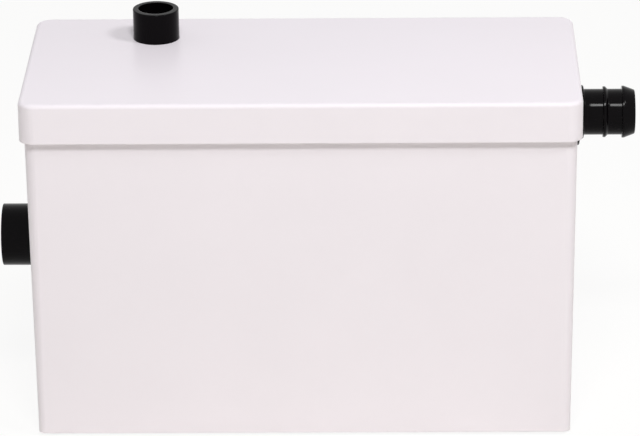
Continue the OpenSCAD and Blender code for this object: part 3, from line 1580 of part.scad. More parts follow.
module microswitch_body() {
    left = bell_x - lever_arm - switch_left;
    pin_p = [bell_x - lever_arm, bell_y, lever_pin_z];
    ear_l = lever_knuckle_d + 1;
    color([0.1, 0.1, 0.12]) {
        difference() {
            union() {
                translate([left, bell_y - switch_w / 2, switch_z]) cube([switch_l, switch_w, switch_h]);
                for (side = [0, 1])
                    translate(pin_p) mirror([0, side, 0])
                        translate([-ear_l / 2, lever_w / 2 + lever_side_gap, -lever_knuckle_d / 2])
                            cube([ear_l, switch_ear_w, switch_z - lever_pin_z + lever_knuckle_d / 2 + seam]);
            }
            translate([bell_x - lever_arm + button_arm, bell_y, switch_z - cut])
                cylinder(d = button_d + 2 * run_fit, h = button_hole_l + cut);
        }
        translate(pin_p) rotate([90, 0, 0])
            cylinder(d = lever_pin_d, h = lever_w + 2 * switch_ear_w, center = true);
    }
}

module switch_lever() {
    color("goldenrod") translate([bell_x - lever_arm, bell_y, 0]) difference() {
        union() {
            translate([0, 0, lever_pin_z]) rotate([90, 0, 0])
                cylinder(d = lever_knuckle_d, h = lever_w, center = true);
            translate([0, -lever_w / 2, lever_z]) cube([lever_l, lever_w, lever_t]);
        }
        translate([0, 0, lever_pin_z]) rotate([90, 0, 0])
            cylinder(d = lever_pin_d + 2 * run_fit, h = lever_w + 2 * cut, center = true);
    }
}

module switch_button() {
    color("crimson") translate([bell_x - lever_arm + button_arm, bell_y, button_z])
        cylinder(d = button_d, h = button_l);
}

base_mat();
tank();
lid();
lid_gasket();
top_inlet_stub();
top_inlet_gasket();
top_inlet_screws();
side_inlet_stub();
side_inlet_gasket();
side_inlet_screws();
side_inlet_flap();
outlet_hose_tail();
outlet_gasket();
outlet_lock_nut();
wc_sleeve();
wc_sleeve_clips();
cable_gland();
gland_lock_nut();
pump_mounts();
pump_base();
pump_casing();
pump_screws();
impeller();
impeller_nut();
macerator_basket();
cutter_knife();
riser_hose();
hose_clips();
check_valve_body();
check_valve_flap();
check_valve_screws();
flap_pins();
discharge_elbow();
motor_bottle();
motor_cap();
motor_cap_seal();
motor_cap_screws();
motor_bridge();
bridge_screws();
stator_core();
stator_windings();
rotor_core();
shaft();
ball_bearings();
bearing_inner_rings();
seal_seat();
seal_head();
motor_lead();
control_box();
control_box_cover();
control_box_screws();
circuit_board();
run_capacitor();
pressure_bell();
switch_diaphragm();
switch_plunger();
plunger_spring();
microswitch_body();
switch_lever();
switch_button();
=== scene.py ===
"""Finishes, detail pieces and a pale studio for the macerator toilet pump."""
import json
import math
from typing import NamedTuple

import bmesh
import bpy
from bpy.props import FloatProperty, FloatVectorProperty, IntProperty, PointerProperty
from mathutils import Matrix, Vector

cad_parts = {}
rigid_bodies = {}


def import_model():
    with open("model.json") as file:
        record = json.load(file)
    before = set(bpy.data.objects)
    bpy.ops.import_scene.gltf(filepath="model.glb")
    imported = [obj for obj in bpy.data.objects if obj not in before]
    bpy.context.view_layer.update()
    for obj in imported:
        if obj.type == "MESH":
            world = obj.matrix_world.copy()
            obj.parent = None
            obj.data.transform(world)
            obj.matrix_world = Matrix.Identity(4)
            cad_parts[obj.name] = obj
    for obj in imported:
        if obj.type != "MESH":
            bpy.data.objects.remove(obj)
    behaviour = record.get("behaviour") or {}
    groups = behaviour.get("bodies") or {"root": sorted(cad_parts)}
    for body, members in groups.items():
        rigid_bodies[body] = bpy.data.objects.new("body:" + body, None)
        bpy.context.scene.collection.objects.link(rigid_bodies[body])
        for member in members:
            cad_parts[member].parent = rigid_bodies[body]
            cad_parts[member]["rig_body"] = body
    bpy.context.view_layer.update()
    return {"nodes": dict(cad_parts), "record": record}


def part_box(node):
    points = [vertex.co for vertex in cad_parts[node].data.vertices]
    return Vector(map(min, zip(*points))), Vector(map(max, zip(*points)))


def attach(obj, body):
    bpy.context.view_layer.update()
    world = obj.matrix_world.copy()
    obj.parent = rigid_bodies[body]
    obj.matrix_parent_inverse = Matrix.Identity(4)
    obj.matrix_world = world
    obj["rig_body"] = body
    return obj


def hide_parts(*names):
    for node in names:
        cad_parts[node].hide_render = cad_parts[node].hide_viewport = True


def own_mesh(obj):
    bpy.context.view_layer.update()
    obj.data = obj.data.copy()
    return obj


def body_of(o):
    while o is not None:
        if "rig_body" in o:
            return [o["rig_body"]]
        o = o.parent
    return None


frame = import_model()

bl_info = {
    "name": "Macerator pump finishes",
    "version": (1, 0, 0),
    "blender": (4, 5, 0),
    "location": "3D View > Sidebar > Pump",
    "description": "Dresses the macerator pump with finishes, detail pieces and a studio",
    "category": "Object",
}

MM = 0.001
PHOTO_WIDTH = 640
SENSOR_WIDTH = 36.0
WHITE = (1.0, 1.0, 1.0, 1.0)
ACROSS = Vector((1, 0, 0))
BACK = Vector((0, 1, 0))
UP = Vector((0, 0, 1))

# Points of a new mesh, and of a CAD mesh, that are closer than this are one point
WELD = 1e-7
CAD_WELD = 1e-6

# Height of a screw's head, in diameters of its shank
HEAD_HEIGHT = 0.65


# Properties

def colour(label, text, default):
    """A base colour in linear light."""
    return FloatVectorProperty(
        name=label, description=text, default=default, min=0, max=1, subtype="COLOR")


def length(label, text, millimetres):
    """A length in metres, given in millimetres."""
    return FloatProperty(name=label, description=text, default=millimetres * MM, min=0, unit="LENGTH")


def angle(label, text, degrees):
    """An angle in radians, given in degrees."""
    return FloatProperty(name=label, description=text, default=math.radians(degrees), subtype="ANGLE")


def power(label, text, watts):
    """The power of a light."""
    return FloatProperty(name=label, description=text, default=watts, unit="POWER")


class PumpColours(bpy.types.PropertyGroup):
    """Base colours of the finishes, in linear light"""

    shell: colour("Shell", "White moulded tank and lid", (0.825, 0.777, 0.823))
    fitting: colour("Fittings", "Black moulded stubs and hose tail", (0.0024, 0.0018, 0.0023))
    rubber: colour("Rubber", "Black rubber sleeve, hose and seals", (0.014, 0.0135, 0.0135))
    grey_rubber: colour("Grey rubber", "Grey rubber mat and gaskets", (0.055, 0.056, 0.058))
    pump_grey: colour("Pump grey", "Grey moulded pump and valve", (0.19, 0.2, 0.21))
    pale: colour("Pale plastic", "Pale moulded basket and bridge", (0.52, 0.53, 0.52))
    dark: colour("Dark plastic", "Dark moulded control box and gland", (0.022, 0.023, 0.025))
    steel: colour("Stainless steel", "Screws, clips, shaft and knife", (0.55, 0.55, 0.54))
    aluminium: colour("Cast aluminium", "Motor bottle and cap", (0.6, 0.61, 0.62))
    core: colour("Core steel", "Laminated motor cores", (0.16, 0.165, 0.18))
    copper: colour("Enamelled copper", "Stator windings", (0.55, 0.2, 0.07))
    ceramic: colour("Ceramic", "Seat of the shaft seal", (0.75, 0.73, 0.68))
    circuit: colour("Circuit board", "Green lacquered board", (0.01, 0.075, 0.028))
    button: colour("Button", "Red moulded switch button", (0.36, 0.012, 0.012))
    brass: colour("Brass", "Lever of the switch", (0.6, 0.4, 0.13))


class PumpSizes(bpy.types.PropertyGroup):
    """Sizes of the pieces that are modelled here"""

    outlet_tube: length("Hose tail tube", "Outside of the hose tail's tube", 32.4)
    outlet_bore: length("Hose tail bore", "Bore of the hose tail", 23)
    outlet_socket: length("Hose tail socket", "Socket for the elbow at the hose tail's inner end", 27.4)
    outlet_socket_depth: length("Socket depth", "Depth of that socket", 12)
    outlet_flange: length("Flange", "Thickness of the hose tail's flange", 4.6)
    outlet_collar: length("Collar", "Outside of the collar next to the flange", 37.8)
    outlet_collar_length: length("Collar length", "Length of that collar", 3)
    outlet_ring: length("Middle ring", "Outside of the middle ring", 36)
    outlet_ring_length: length("Ring length", "Length of the middle ring", 3.5)
    outlet_ring_gap: length("Ring gap", "Plain tube between the ring and the barb", 9.8)
    outlet_barb: length("Barb", "Outside of the end barb", 36.7)
    outlet_barb_length: length("Barb length", "Length of the end barb", 9.2)
    outlet_crest: length("Barb crest", "Flat crest of the end barb", 1.6)
    outlet_tip: length("Tip", "Outside of the free end", 31)
    top_stub: length("Top stub", "Outside of the top inlet", 32.2)
    side_stub: length("Side stub", "Outside of the side inlet", 43.4)
    cap_bore: length("Cap seal bore", "Bore of the motor cap's seal", 81)
    sleeve_grip: length("Sleeve grip", "Bore of the toilet sleeve on its spigot", 100.2)
    sleeve_grip_length: length("Grip length", "Length of that bore", 20)
    sleeve_free_length: length("Free length", "Plain length at the sleeve's free end", 20)
    sleeve_stop: length("Sleeve stop", "Height and length of the stop inside the sleeve", 3)
    sleeve_wall: length("Sleeve wall", "Wall of the sleeve", 4)
    fold_height: length("Fold height", "Height of the sleeve's folds", 4)
    bead: length("Bead", "Height of the beads at the sleeve's ends", 2)
    hose_wall: length("Hose wall", "Wall of the riser hose", 4.5)
    hose_bend: length("Hose bend", "Bend radius of the riser hose", 42)
    stud_height: length("Stud height", "Height of the studs under the mat", 0.8)
    stud_pitch: length("Stud pitch", "Distance between the studs", 9)
    stud_radius: length("Stud radius", "Radius of a stud", 2.6)
    seal_width: length("Lid seal width", "Width of the lid's seal", 3.6)
    seal_corner: length("Lid seal corner", "Corner radius of the lid's seal", 7.3)
    foot: length("Pump foot", "Diameter of a rubber pump foot", 14)
    clip_width: length("Clip width", "Width of a worm-drive band", 9)
    clip_thickness: length("Clip thickness", "Thickness of the band", 1)
    winding_wire: length("Winding bundle", "Diameter of a bundle of winding wire", 2.2)
    winding_bore: length("Winding bore", "Bore of the end turns", 49.4)
    lead: length("Motor lead", "Diameter of the motor lead", 6.5)
    lead_mouth: length("Lead mouth", "Radius at which the lead leaves the motor cap", 48)
    spring_wire: length("Spring wire", "Wire of the return spring", 0.8)
    flap: length("Flap", "Thickness of the rubber flaps", 3)
    knuckle: length("Knuckle", "Outside of a flap's knuckle", 5.6)
    knuckle_bore: length("Knuckle bore", "Bore of a flap's knuckle", 3.16)
    side_knuckle: length("Side knuckle", "Width of the side inlet flap's knuckle", 20)
    valve_knuckle: length("Valve knuckle", "Width of the check valve flap's knuckle", 10)
    valve_pin_rise: length("Valve pin rise", "Height of the check valve's pin over its flap's middle", 0.5)
    seal_bore: length("Seal bore", "Bore of the shaft seal's head", 12.2)
    lead_angle: angle("Lead angle", "Heading of the lead where it leaves the cap", -40)
    winding_slots: IntProperty(name="Slots", description="Number of slots in the stator", default=24, min=6)


class StageSettings(bpy.types.PropertyGroup):
    """Camera and light"""

    target: FloatVectorProperty(
        name="Target", description="Point that the camera looks at", subtype="TRANSLATION",
        default=(0.01096, 0.0, 0.12823))
    distance: FloatProperty(
        name="Distance", description="From the camera to its target", default=2.8009, unit="LENGTH")
    focal_pixels: FloatProperty(
        name="Focal length", description="In pixels of the photograph's width", default=3997.6)
    pitch: angle("Pitch", "How far the camera looks down", 21.781)
    yaw: angle("Yaw", "Turn of the camera to the right", -1.1)
    roll: angle("Roll", "Roll of the camera", -0.65)
    sky: FloatProperty(
        name="Sky", description="Strength of the soft light from all sides", default=0.3)
    sky_lean: FloatVectorProperty(
        name="Sky lean", description="How much stronger the sky is on the right, behind and overhead",
        default=(-0.4, 0.5, -0.3))
    key: power("Key light", "Power of the soft light on the right", 19.8)
    front: power("Front light", "Power of the soft light above the front", 43.6)
    fill: power("Fill light", "Power of the low light at the front left", 1.2)
    floor: colour("Floor", "Share of the light that the floor throws back", (0.95, 0.93, 0.86))
    floor_shade: FloatProperty(
        name="Floor shade", description="Share of the floor's own shading that the camera sees",
        default=0.1, min=0, max=1, subtype="FACTOR")


# Nodes

def once(name):
    """Marks the builder of a node group: it builds the first time, and later the group is there."""
    def mark(build):
        return lambda: bpy.data.node_groups.get(name) or build(name)
    return mark


def connect(tree, target, links):
    """Feeds the inputs of a node, given by name or number, from sockets or with plain values."""
    for key, value in links.items():
        if isinstance(value, bpy.types.NodeSocket):
            tree.links.new(value, target.inputs[key])
        else:
            target.inputs[key].default_value = value


def node(tree, kind, links=None, **settings):
    """Adds a node with its settings and feeds its inputs."""
    made = tree.nodes.new(kind)
    for key, value in settings.items():
        setattr(made, key, value)
    connect(tree, made, links or {})
    return made


def output(tree, kind, links=None, **settings):
    """The first output of a new node."""
    return node(tree, kind, links, **settings).outputs[0]


def math_node(tree, operation, first, second):
    return output(tree, "ShaderNodeMath", {0: first, 1: second}, operation=operation)


# Shader node groups

def shader_group(name, inputs, outputs):
    """A new group with its named sockets; returns it with what it is given and its output node."""
    group = bpy.data.node_groups.new(name, "ShaderNodeTree")
    for label, value in inputs.items():
        socket = group.interface.new_socket(label, in_out="INPUT", socket_type="NodeSocketFloat")
        socket.default_value = value
    for label, kind in outputs.items():
        group.interface.new_socket(label, in_out="OUTPUT", socket_type="NodeSocket" + kind)
    return group, group.nodes.new("NodeGroupInput").outputs, group.nodes.new("NodeGroupOutput")


def noise(tree, vector, scale, detail=2.0, roughness=0.5):
    return output(tree, "ShaderNodeTexNoise", {
        "Vector": vector, "Scale": scale, "Detail": detail, "Roughness": roughness})


def swing(tree, value, gain):
    """A value's swing about one half, times a gain."""
    return math_node(tree, "MULTIPLY", math_node(tree, "SUBTRACT", value, 0.5), gain)


@once("Moulded grain")
def moulded_grain(name):
    """Fine spark texture and slow drift of a moulded surface."""
    group, given, out = shader_group(
        name, {"Grain Size": 0.5 * MM, "Drift Size": 40 * MM, "Drift": 0.02},
        {"Height": "Float", "Tint": "Float", "Roughness Shift": "Float"})
    tint_gain = 2.0
    rough_gain = 3.0
    rough_grain = 0.12
    place = node(group, "ShaderNodeTexCoord").outputs["Object"]
    fine_scale = math_node(group, "DIVIDE", 1.0, given["Grain Size"])
    slow_scale = math_node(group, "DIVIDE", 1.0, given["Drift Size"])
    fine = noise(group, place, fine_scale, detail=3.0, roughness=0.6)
    slow = noise(group, place, slow_scale, detail=3.0, roughness=0.55)
    drift = swing(group, slow, given["Drift"])
    tint = math_node(group, "MULTIPLY", drift, tint_gain)
    rough = math_node(group, "MULTIPLY", drift, rough_gain)
    connect(group, out, {
        "Height": fine, "Tint": math_node(group, "ADD", tint, 1.0),
        "Roughness Shift": math_node(group, "ADD", swing(group, fine, rough_grain), rough)})
    return group


@once("Soft edge")
def soft_edge(name):
    """Rounded normal and a mask of the edges."""
    group, given, out = shader_group(
        name, {"Radius": 0.6 * MM, "Gain": 6.0}, {"Normal": "Vector", "Mask": "Float"})
    rounded = output(group, "ShaderNodeBevel", {"Radius": given["Radius"]}, samples=6)
    flat = node(group, "ShaderNodeNewGeometry").outputs["Normal"]
    dot = node(group, "ShaderNodeVectorMath", {0: rounded, 1: flat}, operation="DOT_PRODUCT")
    bent = math_node(group, "SUBTRACT", 1.0, dot.outputs["Value"])
    mask = output(group, "ShaderNodeClamp", {"Value": math_node(group, "MULTIPLY", bent, given["Gain"])})
    connect(group, out, {"Normal": rounded, "Mask": mask})
    return group


@once("Brushed streaks")
def brushed_streaks(name):
    """Fine streaks drawn out along Z."""
    group, given, out = shader_group(
        name, {"Streak Width": 0.3 * MM, "Stretch": 30.0},
        {"Height": "Float", "Tint": "Float", "Roughness Shift": "Float"})
    clouds_per_metre = 60.0
    tint_low = 0.88
    tint_range = 0.24
    rough_range = 0.3
    place = node(group, "ShaderNodeTexCoord").outputs["Object"]
    squeeze = output(group, "ShaderNodeCombineXYZ", {
        "X": 1.0, "Y": 1.0, "Z": math_node(group, "DIVIDE", 1.0, given["Stretch"])})
    drawn = output(group, "ShaderNodeVectorMath", {0: place, 1: squeeze}, operation="MULTIPLY")
    streak = noise(group, drawn, math_node(group, "DIVIDE", 1.0, given["Streak Width"]))
    cloud = noise(group, place, clouds_per_metre, detail=3.0)
    tint = math_node(group, "MULTIPLY", cloud, tint_range)
    connect(group, out, {
        "Height": streak, "Tint": math_node(group, "ADD", tint, tint_low),
        "Roughness Shift": swing(group, streak, rough_range)})
    return group


# Materials

def tinted(tree, paint, tint):
    """The paint, lightened and darkened by a value near 1."""
    links = {0: 1.0, 6: (*paint, 1.0), 7: tint}
    return node(tree, "ShaderNodeMix", links, data_type="RGBA", blend_type="MULTIPLY").outputs[2]


def blended(tree, base, other, mask):
    """The base colour, with another one where the mask is."""
    links = {0: mask, 6: base, 7: (*other, 1.0)}
    return node(tree, "ShaderNodeMix", links, data_type="RGBA").outputs[2]


def surface(name, paint, texture, roughness, bump, wear_and_highlight=None, wear_and_highlight_share=0.0, edge=0.6,
            metallic=0.0, specular=0.5, coat=0.0):
    """A Principled material with a texture group, soft edges and edges lightened towards a colour for wear
    and painted highlight; lengths in millimetres.
    """
    material = bpy.data.materials.new(name)
    material.use_nodes = True
    tree = material.node_tree
    group, values = texture
    pattern = node(tree, "ShaderNodeGroup", values, node_tree=group).outputs
    edges = node(tree, "ShaderNodeGroup", {"Radius": edge * MM}, node_tree=soft_edge()).outputs
    base = tinted(tree, paint, pattern["Tint"])
    # Edges lightened towards a colour that stands for wear and, on the black fittings, for a painted
    # highlight
    if wear_and_highlight is not None:
        base = blended(tree, base, wear_and_highlight, math_node(tree, "MULTIPLY", edges["Mask"], wear_and_highlight_share))
    relief = output(tree, "ShaderNodeBump", {
        "Strength": 1.0, "Distance": bump * MM, "Height": pattern["Height"], "Normal": edges["Normal"]})
    connect(tree, tree.nodes["Principled BSDF"], {
        "Base Color": base, "Roughness": math_node(tree, "ADD", pattern["Roughness Shift"], roughness),
        "Normal": relief, "Metallic": metallic, "Specular IOR Level": specular, "Coat Weight": coat})
    return material


def grain(size, drift_size, drift):
    return moulded_grain(), {"Grain Size": size * MM, "Drift Size": drift_size * MM, "Drift": drift}


def streaks(width, stretch):
    return brushed_streaks(), {"Streak Width": width * MM, "Stretch": stretch}


def shell_white(colours):
    return surface(
        "shell_white", colours.shell, grain(size=1.1, drift_size=90, drift=0.02),
        roughness=0.33, bump=0.012, specular=0.15)


def fitting_black(colours):
    # The lighter colour on the edges is a painted highlight on the rims of the black fittings
    return surface(
        "fitting_black", colours.fitting, grain(size=0.7, drift_size=25, drift=0.2),
        roughness=0.07, bump=0.003, wear_and_highlight=(0.02, 0.02, 0.02), wear_and_highlight_share=0.25, specular=0.065)


def rubber_black(colours):
    return surface(
        "rubber_black", colours.rubber, grain(size=0.5, drift_size=20, drift=0.25),
        roughness=0.66, bump=0.03, wear_and_highlight=(0.05, 0.05, 0.05), wear_and_highlight_share=0.4, specular=0.25)


def rubber_grey(colours):
    return surface(
        "rubber_grey", colours.grey_rubber, grain(size=0.5, drift_size=25, drift=0.2),
        roughness=0.7, bump=0.03, specular=0.3)


def pump_grey(colours):
    return surface(
        "pump_grey", colours.pump_grey, grain(size=0.9, drift_size=30, drift=0.1),
        roughness=0.48, bump=0.02, wear_and_highlight=(0.35, 0.36, 0.37), wear_and_highlight_share=0.4, specular=0.4)


def pale_plastic(colours):
    return surface(
        "pale_plastic", colours.pale, grain(size=0.9, drift_size=40, drift=0.06),
        roughness=0.45, bump=0.015, specular=0.4)


def dark_plastic(colours):
    return surface(
        "dark_plastic", colours.dark, grain(size=0.6, drift_size=25, drift=0.2),
        roughness=0.45, bump=0.02, wear_and_highlight=(0.09, 0.09, 0.09), wear_and_highlight_share=0.4, specular=0.35)


def stainless(colours):
    return surface(
        "stainless", colours.steel, streaks(width=0.25, stretch=12),
        roughness=0.28, bump=0.004, wear_and_highlight=(0.8, 0.8, 0.79), wear_and_highlight_share=0.4, edge=0.25, metallic=1.0)


def cast_aluminium(colours):
    return surface(
        "cast_aluminium", colours.aluminium, grain(size=1.4, drift_size=18, drift=0.1),
        roughness=0.42, bump=0.05, wear_and_highlight=(0.8, 0.8, 0.81), wear_and_highlight_share=0.5, metallic=1.0)


def lamination(colours):
    return surface(
        "lamination", colours.core, streaks(width=0.5, stretch=0.05),
        roughness=0.4, bump=0.08, metallic=0.9)


def copper_wire(colours):
    return surface(
        "copper_wire", colours.copper, streaks(width=0.5, stretch=6),
        roughness=0.3, bump=0.02, metallic=1.0, coat=0.4)


def ceramic(colours):
    return surface(
        "ceramic", colours.ceramic, grain(size=0.6, drift_size=10, drift=0.04),
        roughness=0.18, bump=0.004)


def circuit_green(colours):
    return surface(
        "circuit_green", colours.circuit, grain(size=1.5, drift_size=6, drift=0.6),
        roughness=0.3, bump=0.02, coat=0.5)


def button_red(colours):
    return surface(
        "button_red", colours.button, grain(size=0.4, drift_size=5, drift=0.1),
        roughness=0.3, bump=0.01)


def spring_brass(colours):
    return surface(
        "spring_brass", colours.brass, streaks(width=0.2, stretch=10),
        roughness=0.3, bump=0.004, edge=0.1, metallic=1.0)


FINISHES = {
    "white_body": shell_white, "black_plastic": fitting_black, "black_rubber": rubber_black,
    "grey_rubber": rubber_grey, "grey_plastic": pump_grey, "pale_plastic": pale_plastic,
    "dark_plastic": dark_plastic, "steel": stainless, "aluminium": cast_aluminium,
    "lamination": lamination, "copper": copper_wire, "ceramic": ceramic, "board": circuit_green,
    "red_plastic": button_red, "brass": spring_brass,
}


def finish_for(slot):
    """The material of a record slot, made the first time that it is asked for."""
    make = FINISHES[slot]
    return bpy.data.materials.get(make.__name__) or make(bpy.context.scene.pump_colours)


class PUMP_OT_finishes(bpy.types.Operator):
    """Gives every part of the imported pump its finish"""

    bl_idname = "pump.finishes"
    bl_label = "Finish the parts"

    def execute(self, context):
        for part in frame["record"]["subparts"]:
            mesh = frame["nodes"][part["node"]].data
            mesh.materials.clear()
            mesh.materials.append(finish_for(part["material_slot"]))
        return {"FINISHED"}


# Shapes

class Span(NamedTuple):
    """Low corner, high corner, middle and size of a box."""

    low: Vector
    high: Vector
    middle: Vector
    size: Vector


def span(node_name):
    """The box of a CAD node."""
    low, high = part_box(node_name)
    return Span(low, high, (low + high) / 2, high - low)


def limits(points):
    """Low and high corner of the box round some points."""
    low = Vector(min(p[i] for p in points) for i in range(3))
    high = Vector(max(p[i] for p in points) for i in range(3))
    return low, high


def filleted(corners, steps=5):
    """Closed outline from (across, along, radius) corners, each rounded to its radius."""
    points = []
    for i, (across, along, radius) in enumerate(corners):
        here = Vector((across, along))
        if radius == 0:
            points.append(here)
            continue
        before = (Vector(corners[i - 1][:2]) - here).normalized()
        after = (Vector(corners[(i + 1) % len(corners)][:2]) - here).normalized()
        half = before.angle(after) / 2
        centre = here + (before + after).normalized() * radius / math.sin(half)
        start = here + before * radius / math.tan(half) - centre
        end = here + after * radius / math.tan(half) - centre
        first = math.atan2(start.y, start.x)
        turn = (math.atan2(end.y, end.x) - first + math.pi) % (2 * math.pi) - math.pi
        for step in range(steps + 1):
            heading = first + turn * step / steps
            points.append(centre + radius * Vector((math.cos(heading), math.sin(heading))))
    return points


def ring_outline(inner, outer, thick, edge, steps=5):
    """Outline of a plain ring with rounded edges."""
    corners = [(inner, 0), (outer, 0), (outer, thick), (inner, thick)]
    return filleted([(across, along, edge) for across, along in corners], steps)


def ring_section(radius, sides):
    return [radius * Vector((math.cos(a), math.sin(a))) for a in
            (2 * math.pi * k / sides for k in range(sides))]


def shaded(mesh, sharp):
    """Shades a mesh smooth but for the edges that turn by more than some degrees."""
    mesh.shade_smooth()
    mesh.set_sharp_from_angle(angle=math.radians(sharp))
    return mesh


def lofted(name, rings, closed=False, sharp=38):
    """Closed mesh over rings of as many points each; the end rings are capped unless the skin is closed."""
    verts = [point for ring in rings for point in ring]
    faces = []
    count = len(rings[0])
    for i in range(len(rings) if closed else len(rings) - 1):
        j = (i + 1) % len(rings)
        for k in range(count):
            n = (k + 1) % count
            faces.append((i * count + k, j * count + k, j * count + n, i * count + n))
    if not closed:
        faces.append(tuple(range(count)))
        faces.append(tuple(range(len(verts) - count, len(verts))))
    mesh = bpy.data.meshes.new(name)
    mesh.from_pydata(verts, [], faces)
    work = bmesh.new()
    work.from_mesh(mesh)
    bmesh.ops.remove_doubles(work, verts=work.verts, dist=WELD)
    bmesh.ops.recalc_face_normals(work, faces=work.faces)
    work.to_mesh(mesh)
    work.free()
    return shaded(mesh, sharp)


def line(place, direction):
    """Frames along a straight axis: a function from a distance to a matrix whose Z runs along it."""
    turn = UP.rotation_difference(Vector(direction)).to_matrix().to_4x4()
    start = Matrix.Translation(place) @ turn
    return lambda distance: start @ Matrix.Translation((0, 0, distance))


def way(points):
    """Frames along a chain of points, each turned as little as possible from the one before."""
    frames = []
    last = len(points) - 1
    heading = UP
    turn = Matrix.Identity(3)
    for i, point in enumerate(points):
        ahead = (points[min(i + 1, last)] - points[max(i - 1, 0)]).normalized()
        turn = heading.rotation_difference(ahead).to_matrix() @ turn
        heading = ahead
        frames.append(Matrix.Translation(point) @ turn.to_4x4())
    return frames


def turned(name, axis, outline, segments=96):
    """Spins a closed outline of (radius, distance) points about an axis."""
    rings = []
    for s in range(segments):
        x = math.cos(2 * math.pi * s / segments)
        y = math.sin(2 * math.pi * s / segments)
        rings.append([axis(distance) @ Vector((radius * x, radius * y, 0)) for radius, distance in outline])
    return lofted(name, rings, closed=True)


def swept(name, frames, section, closed=False):
    """Carries a closed section along frames; its ends are capped unless the way is closed."""
    return lofted(name, [[matrix @ Vector((x, y, 0)) for x, y in section] for matrix in frames], closed)


def block(name, low, high, radius):
    """A box between two corners with rounded edges."""
    work = bmesh.new()
    bmesh.ops.create_cube(work, size=1.0)
    size = Vector(high) - Vector(low)
    middle = (Vector(high) + Vector(low)) / 2
    for vert in work.verts:
        vert.co = Vector(a * b for a, b in zip(vert.co, size)) + middle
    bmesh.ops.bevel(work, geom=work.edges[:], offset=radius, segments=3, profile=0.5, affect="EDGES")
    mesh = bpy.data.meshes.new(name)
    work.to_mesh(mesh)
    work.free()
    return shaded(mesh, sharp=40)


def joined(name, meshes):
    """One mesh from several."""
    work = bmesh.new()
    for mesh in meshes:
        work.from_mesh(mesh)
        bpy.data.meshes.remove(mesh)
    whole = bpy.data.meshes.new(name)
    work.to_mesh(whole)
    work.free()
    return whole


def piece(name, mesh, slot, nodes, body="housing"):
    """Shows a mesh in place of CAD nodes, on their body and with their finish."""
    made = bpy.data.objects.new(name, mesh)
    bpy.context.scene.collection.objects.link(made)
    mesh.materials.clear()
    mesh.materials.append(finish_for(slot))
    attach(made, body)
    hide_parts(*nodes)
    return made


# Geometry nodes

def geometry_tree(name, inputs):
    """A new tree with inputs of (kind, default); returns it with what it is given and its output node."""
    tree = bpy.data.node_groups.new(name, "GeometryNodeTree")
    tree.is_modifier = True
    tree.interface.new_socket("Geometry", in_out="INPUT", socket_type="NodeSocketGeometry")
    for label, (kind, value) in inputs.items():
        socket = tree.interface.new_socket(label, in_out="INPUT", socket_type="NodeSocket" + kind)
        if value is not None:
            socket.default_value = value
    tree.interface.new_socket("Geometry", in_out="OUTPUT", socket_type="NodeSocketGeometry")
    return tree, tree.nodes.new("NodeGroupInput").outputs, tree.nodes.new("NodeGroupOutput")


def close_tree(tree, given, out, geometry):
    """Ends a tree in Realize Instances and Set Material."""
    real = output(tree, "GeometryNodeRealizeInstances", {0: geometry})
    dressed = output(tree, "GeometryNodeSetMaterial", {0: real, "Material": given["Material"]})
    connect(tree, out, {0: dressed})
    return tree


def grow(name, data, tree, values):
    """The plain mesh that a tree makes of some mesh or curve."""
    seed = bpy.data.objects.new(name, data)
    bpy.context.scene.collection.objects.link(seed)
    modifier = seed.modifiers.new("Grow", "NODES")
    modifier.node_group = tree
    for item in tree.interface.items_tree:
        if item.in_out == "INPUT" and item.name in values:
            modifier[item.identifier] = values[item.name]
    graph = bpy.context.evaluated_depsgraph_get()
    mesh = bpy.data.meshes.new_from_object(seed.evaluated_get(graph), depsgraph=graph)
    mesh.name = name
    seed.modifiers.clear()
    bpy.data.objects.remove(seed)
    return mesh


@once("Screw set")
def screw_tree(name):
    """Sets copies of a screw, which is made in diameters, on points that carry a heading."""
    tree, given, out = geometry_tree(name, {
        "Screw": ("Object", None), "Diameter": ("Float", 4 * MM), "Material": ("Material", None)})
    copy = node(tree, "GeometryNodeObjectInfo", {"Object": given["Screw"]}).outputs["Geometry"]
    heading = output(tree, "GeometryNodeInputNamedAttribute", {"Name": "heading"}, data_type="FLOAT_VECTOR")
    turn = output(tree, "FunctionNodeAlignRotationToVector", {"Vector": heading}, axis="Z")
    spread = output(tree, "GeometryNodeInstanceOnPoints", {
        "Points": given["Geometry"], "Instance": copy, "Rotation": turn, "Scale": given["Diameter"]})
    return close_tree(tree, given, out, spread)


@once("Clip band")
def band_tree(name):
    """Cuts a row of slanted slots round a band whose axis is Z."""
    tree, given, out = geometry_tree(name, {
        "Radius": ("Float", 20 * MM), "Slots": ("Int", 60), "Width": ("Float", 9 * MM),
        "Material": ("Material", None)})
    cut_depth = 6 * MM
    slot_width = math_node(tree, "MULTIPLY", given["Width"], 0.08)
    slot_length = math_node(tree, "MULTIPLY", given["Width"], 0.55)
    slant = math.radians(12)
    places = output(tree, "GeometryNodeMeshCircle", {"Vertices": given["Slots"], "Radius": given["Radius"]})
    size = output(tree, "ShaderNodeCombineXYZ", {0: cut_depth, 1: slot_width, 2: slot_length})
    cutter = output(tree, "GeometryNodeMeshCube", {"Size": size})
    slanted = output(tree, "GeometryNodeTransform", {"Geometry": cutter, "Rotation": (slant, 0, 0)})
    spot = output(tree, "GeometryNodeInputPosition")
    turn = output(tree, "FunctionNodeAlignRotationToVector", {"Vector": spot}, axis="X")
    ring = output(tree, "GeometryNodeInstanceOnPoints", {
        "Points": places, "Instance": slanted, "Rotation": turn})
    real = output(tree, "GeometryNodeRealizeInstances", {0: ring})
    cut = output(tree, "GeometryNodeMeshBoolean", {
        "Mesh 1": given["Geometry"], "Mesh 2": real}, operation="DIFFERENCE")
    return close_tree(tree, given, out, cut)


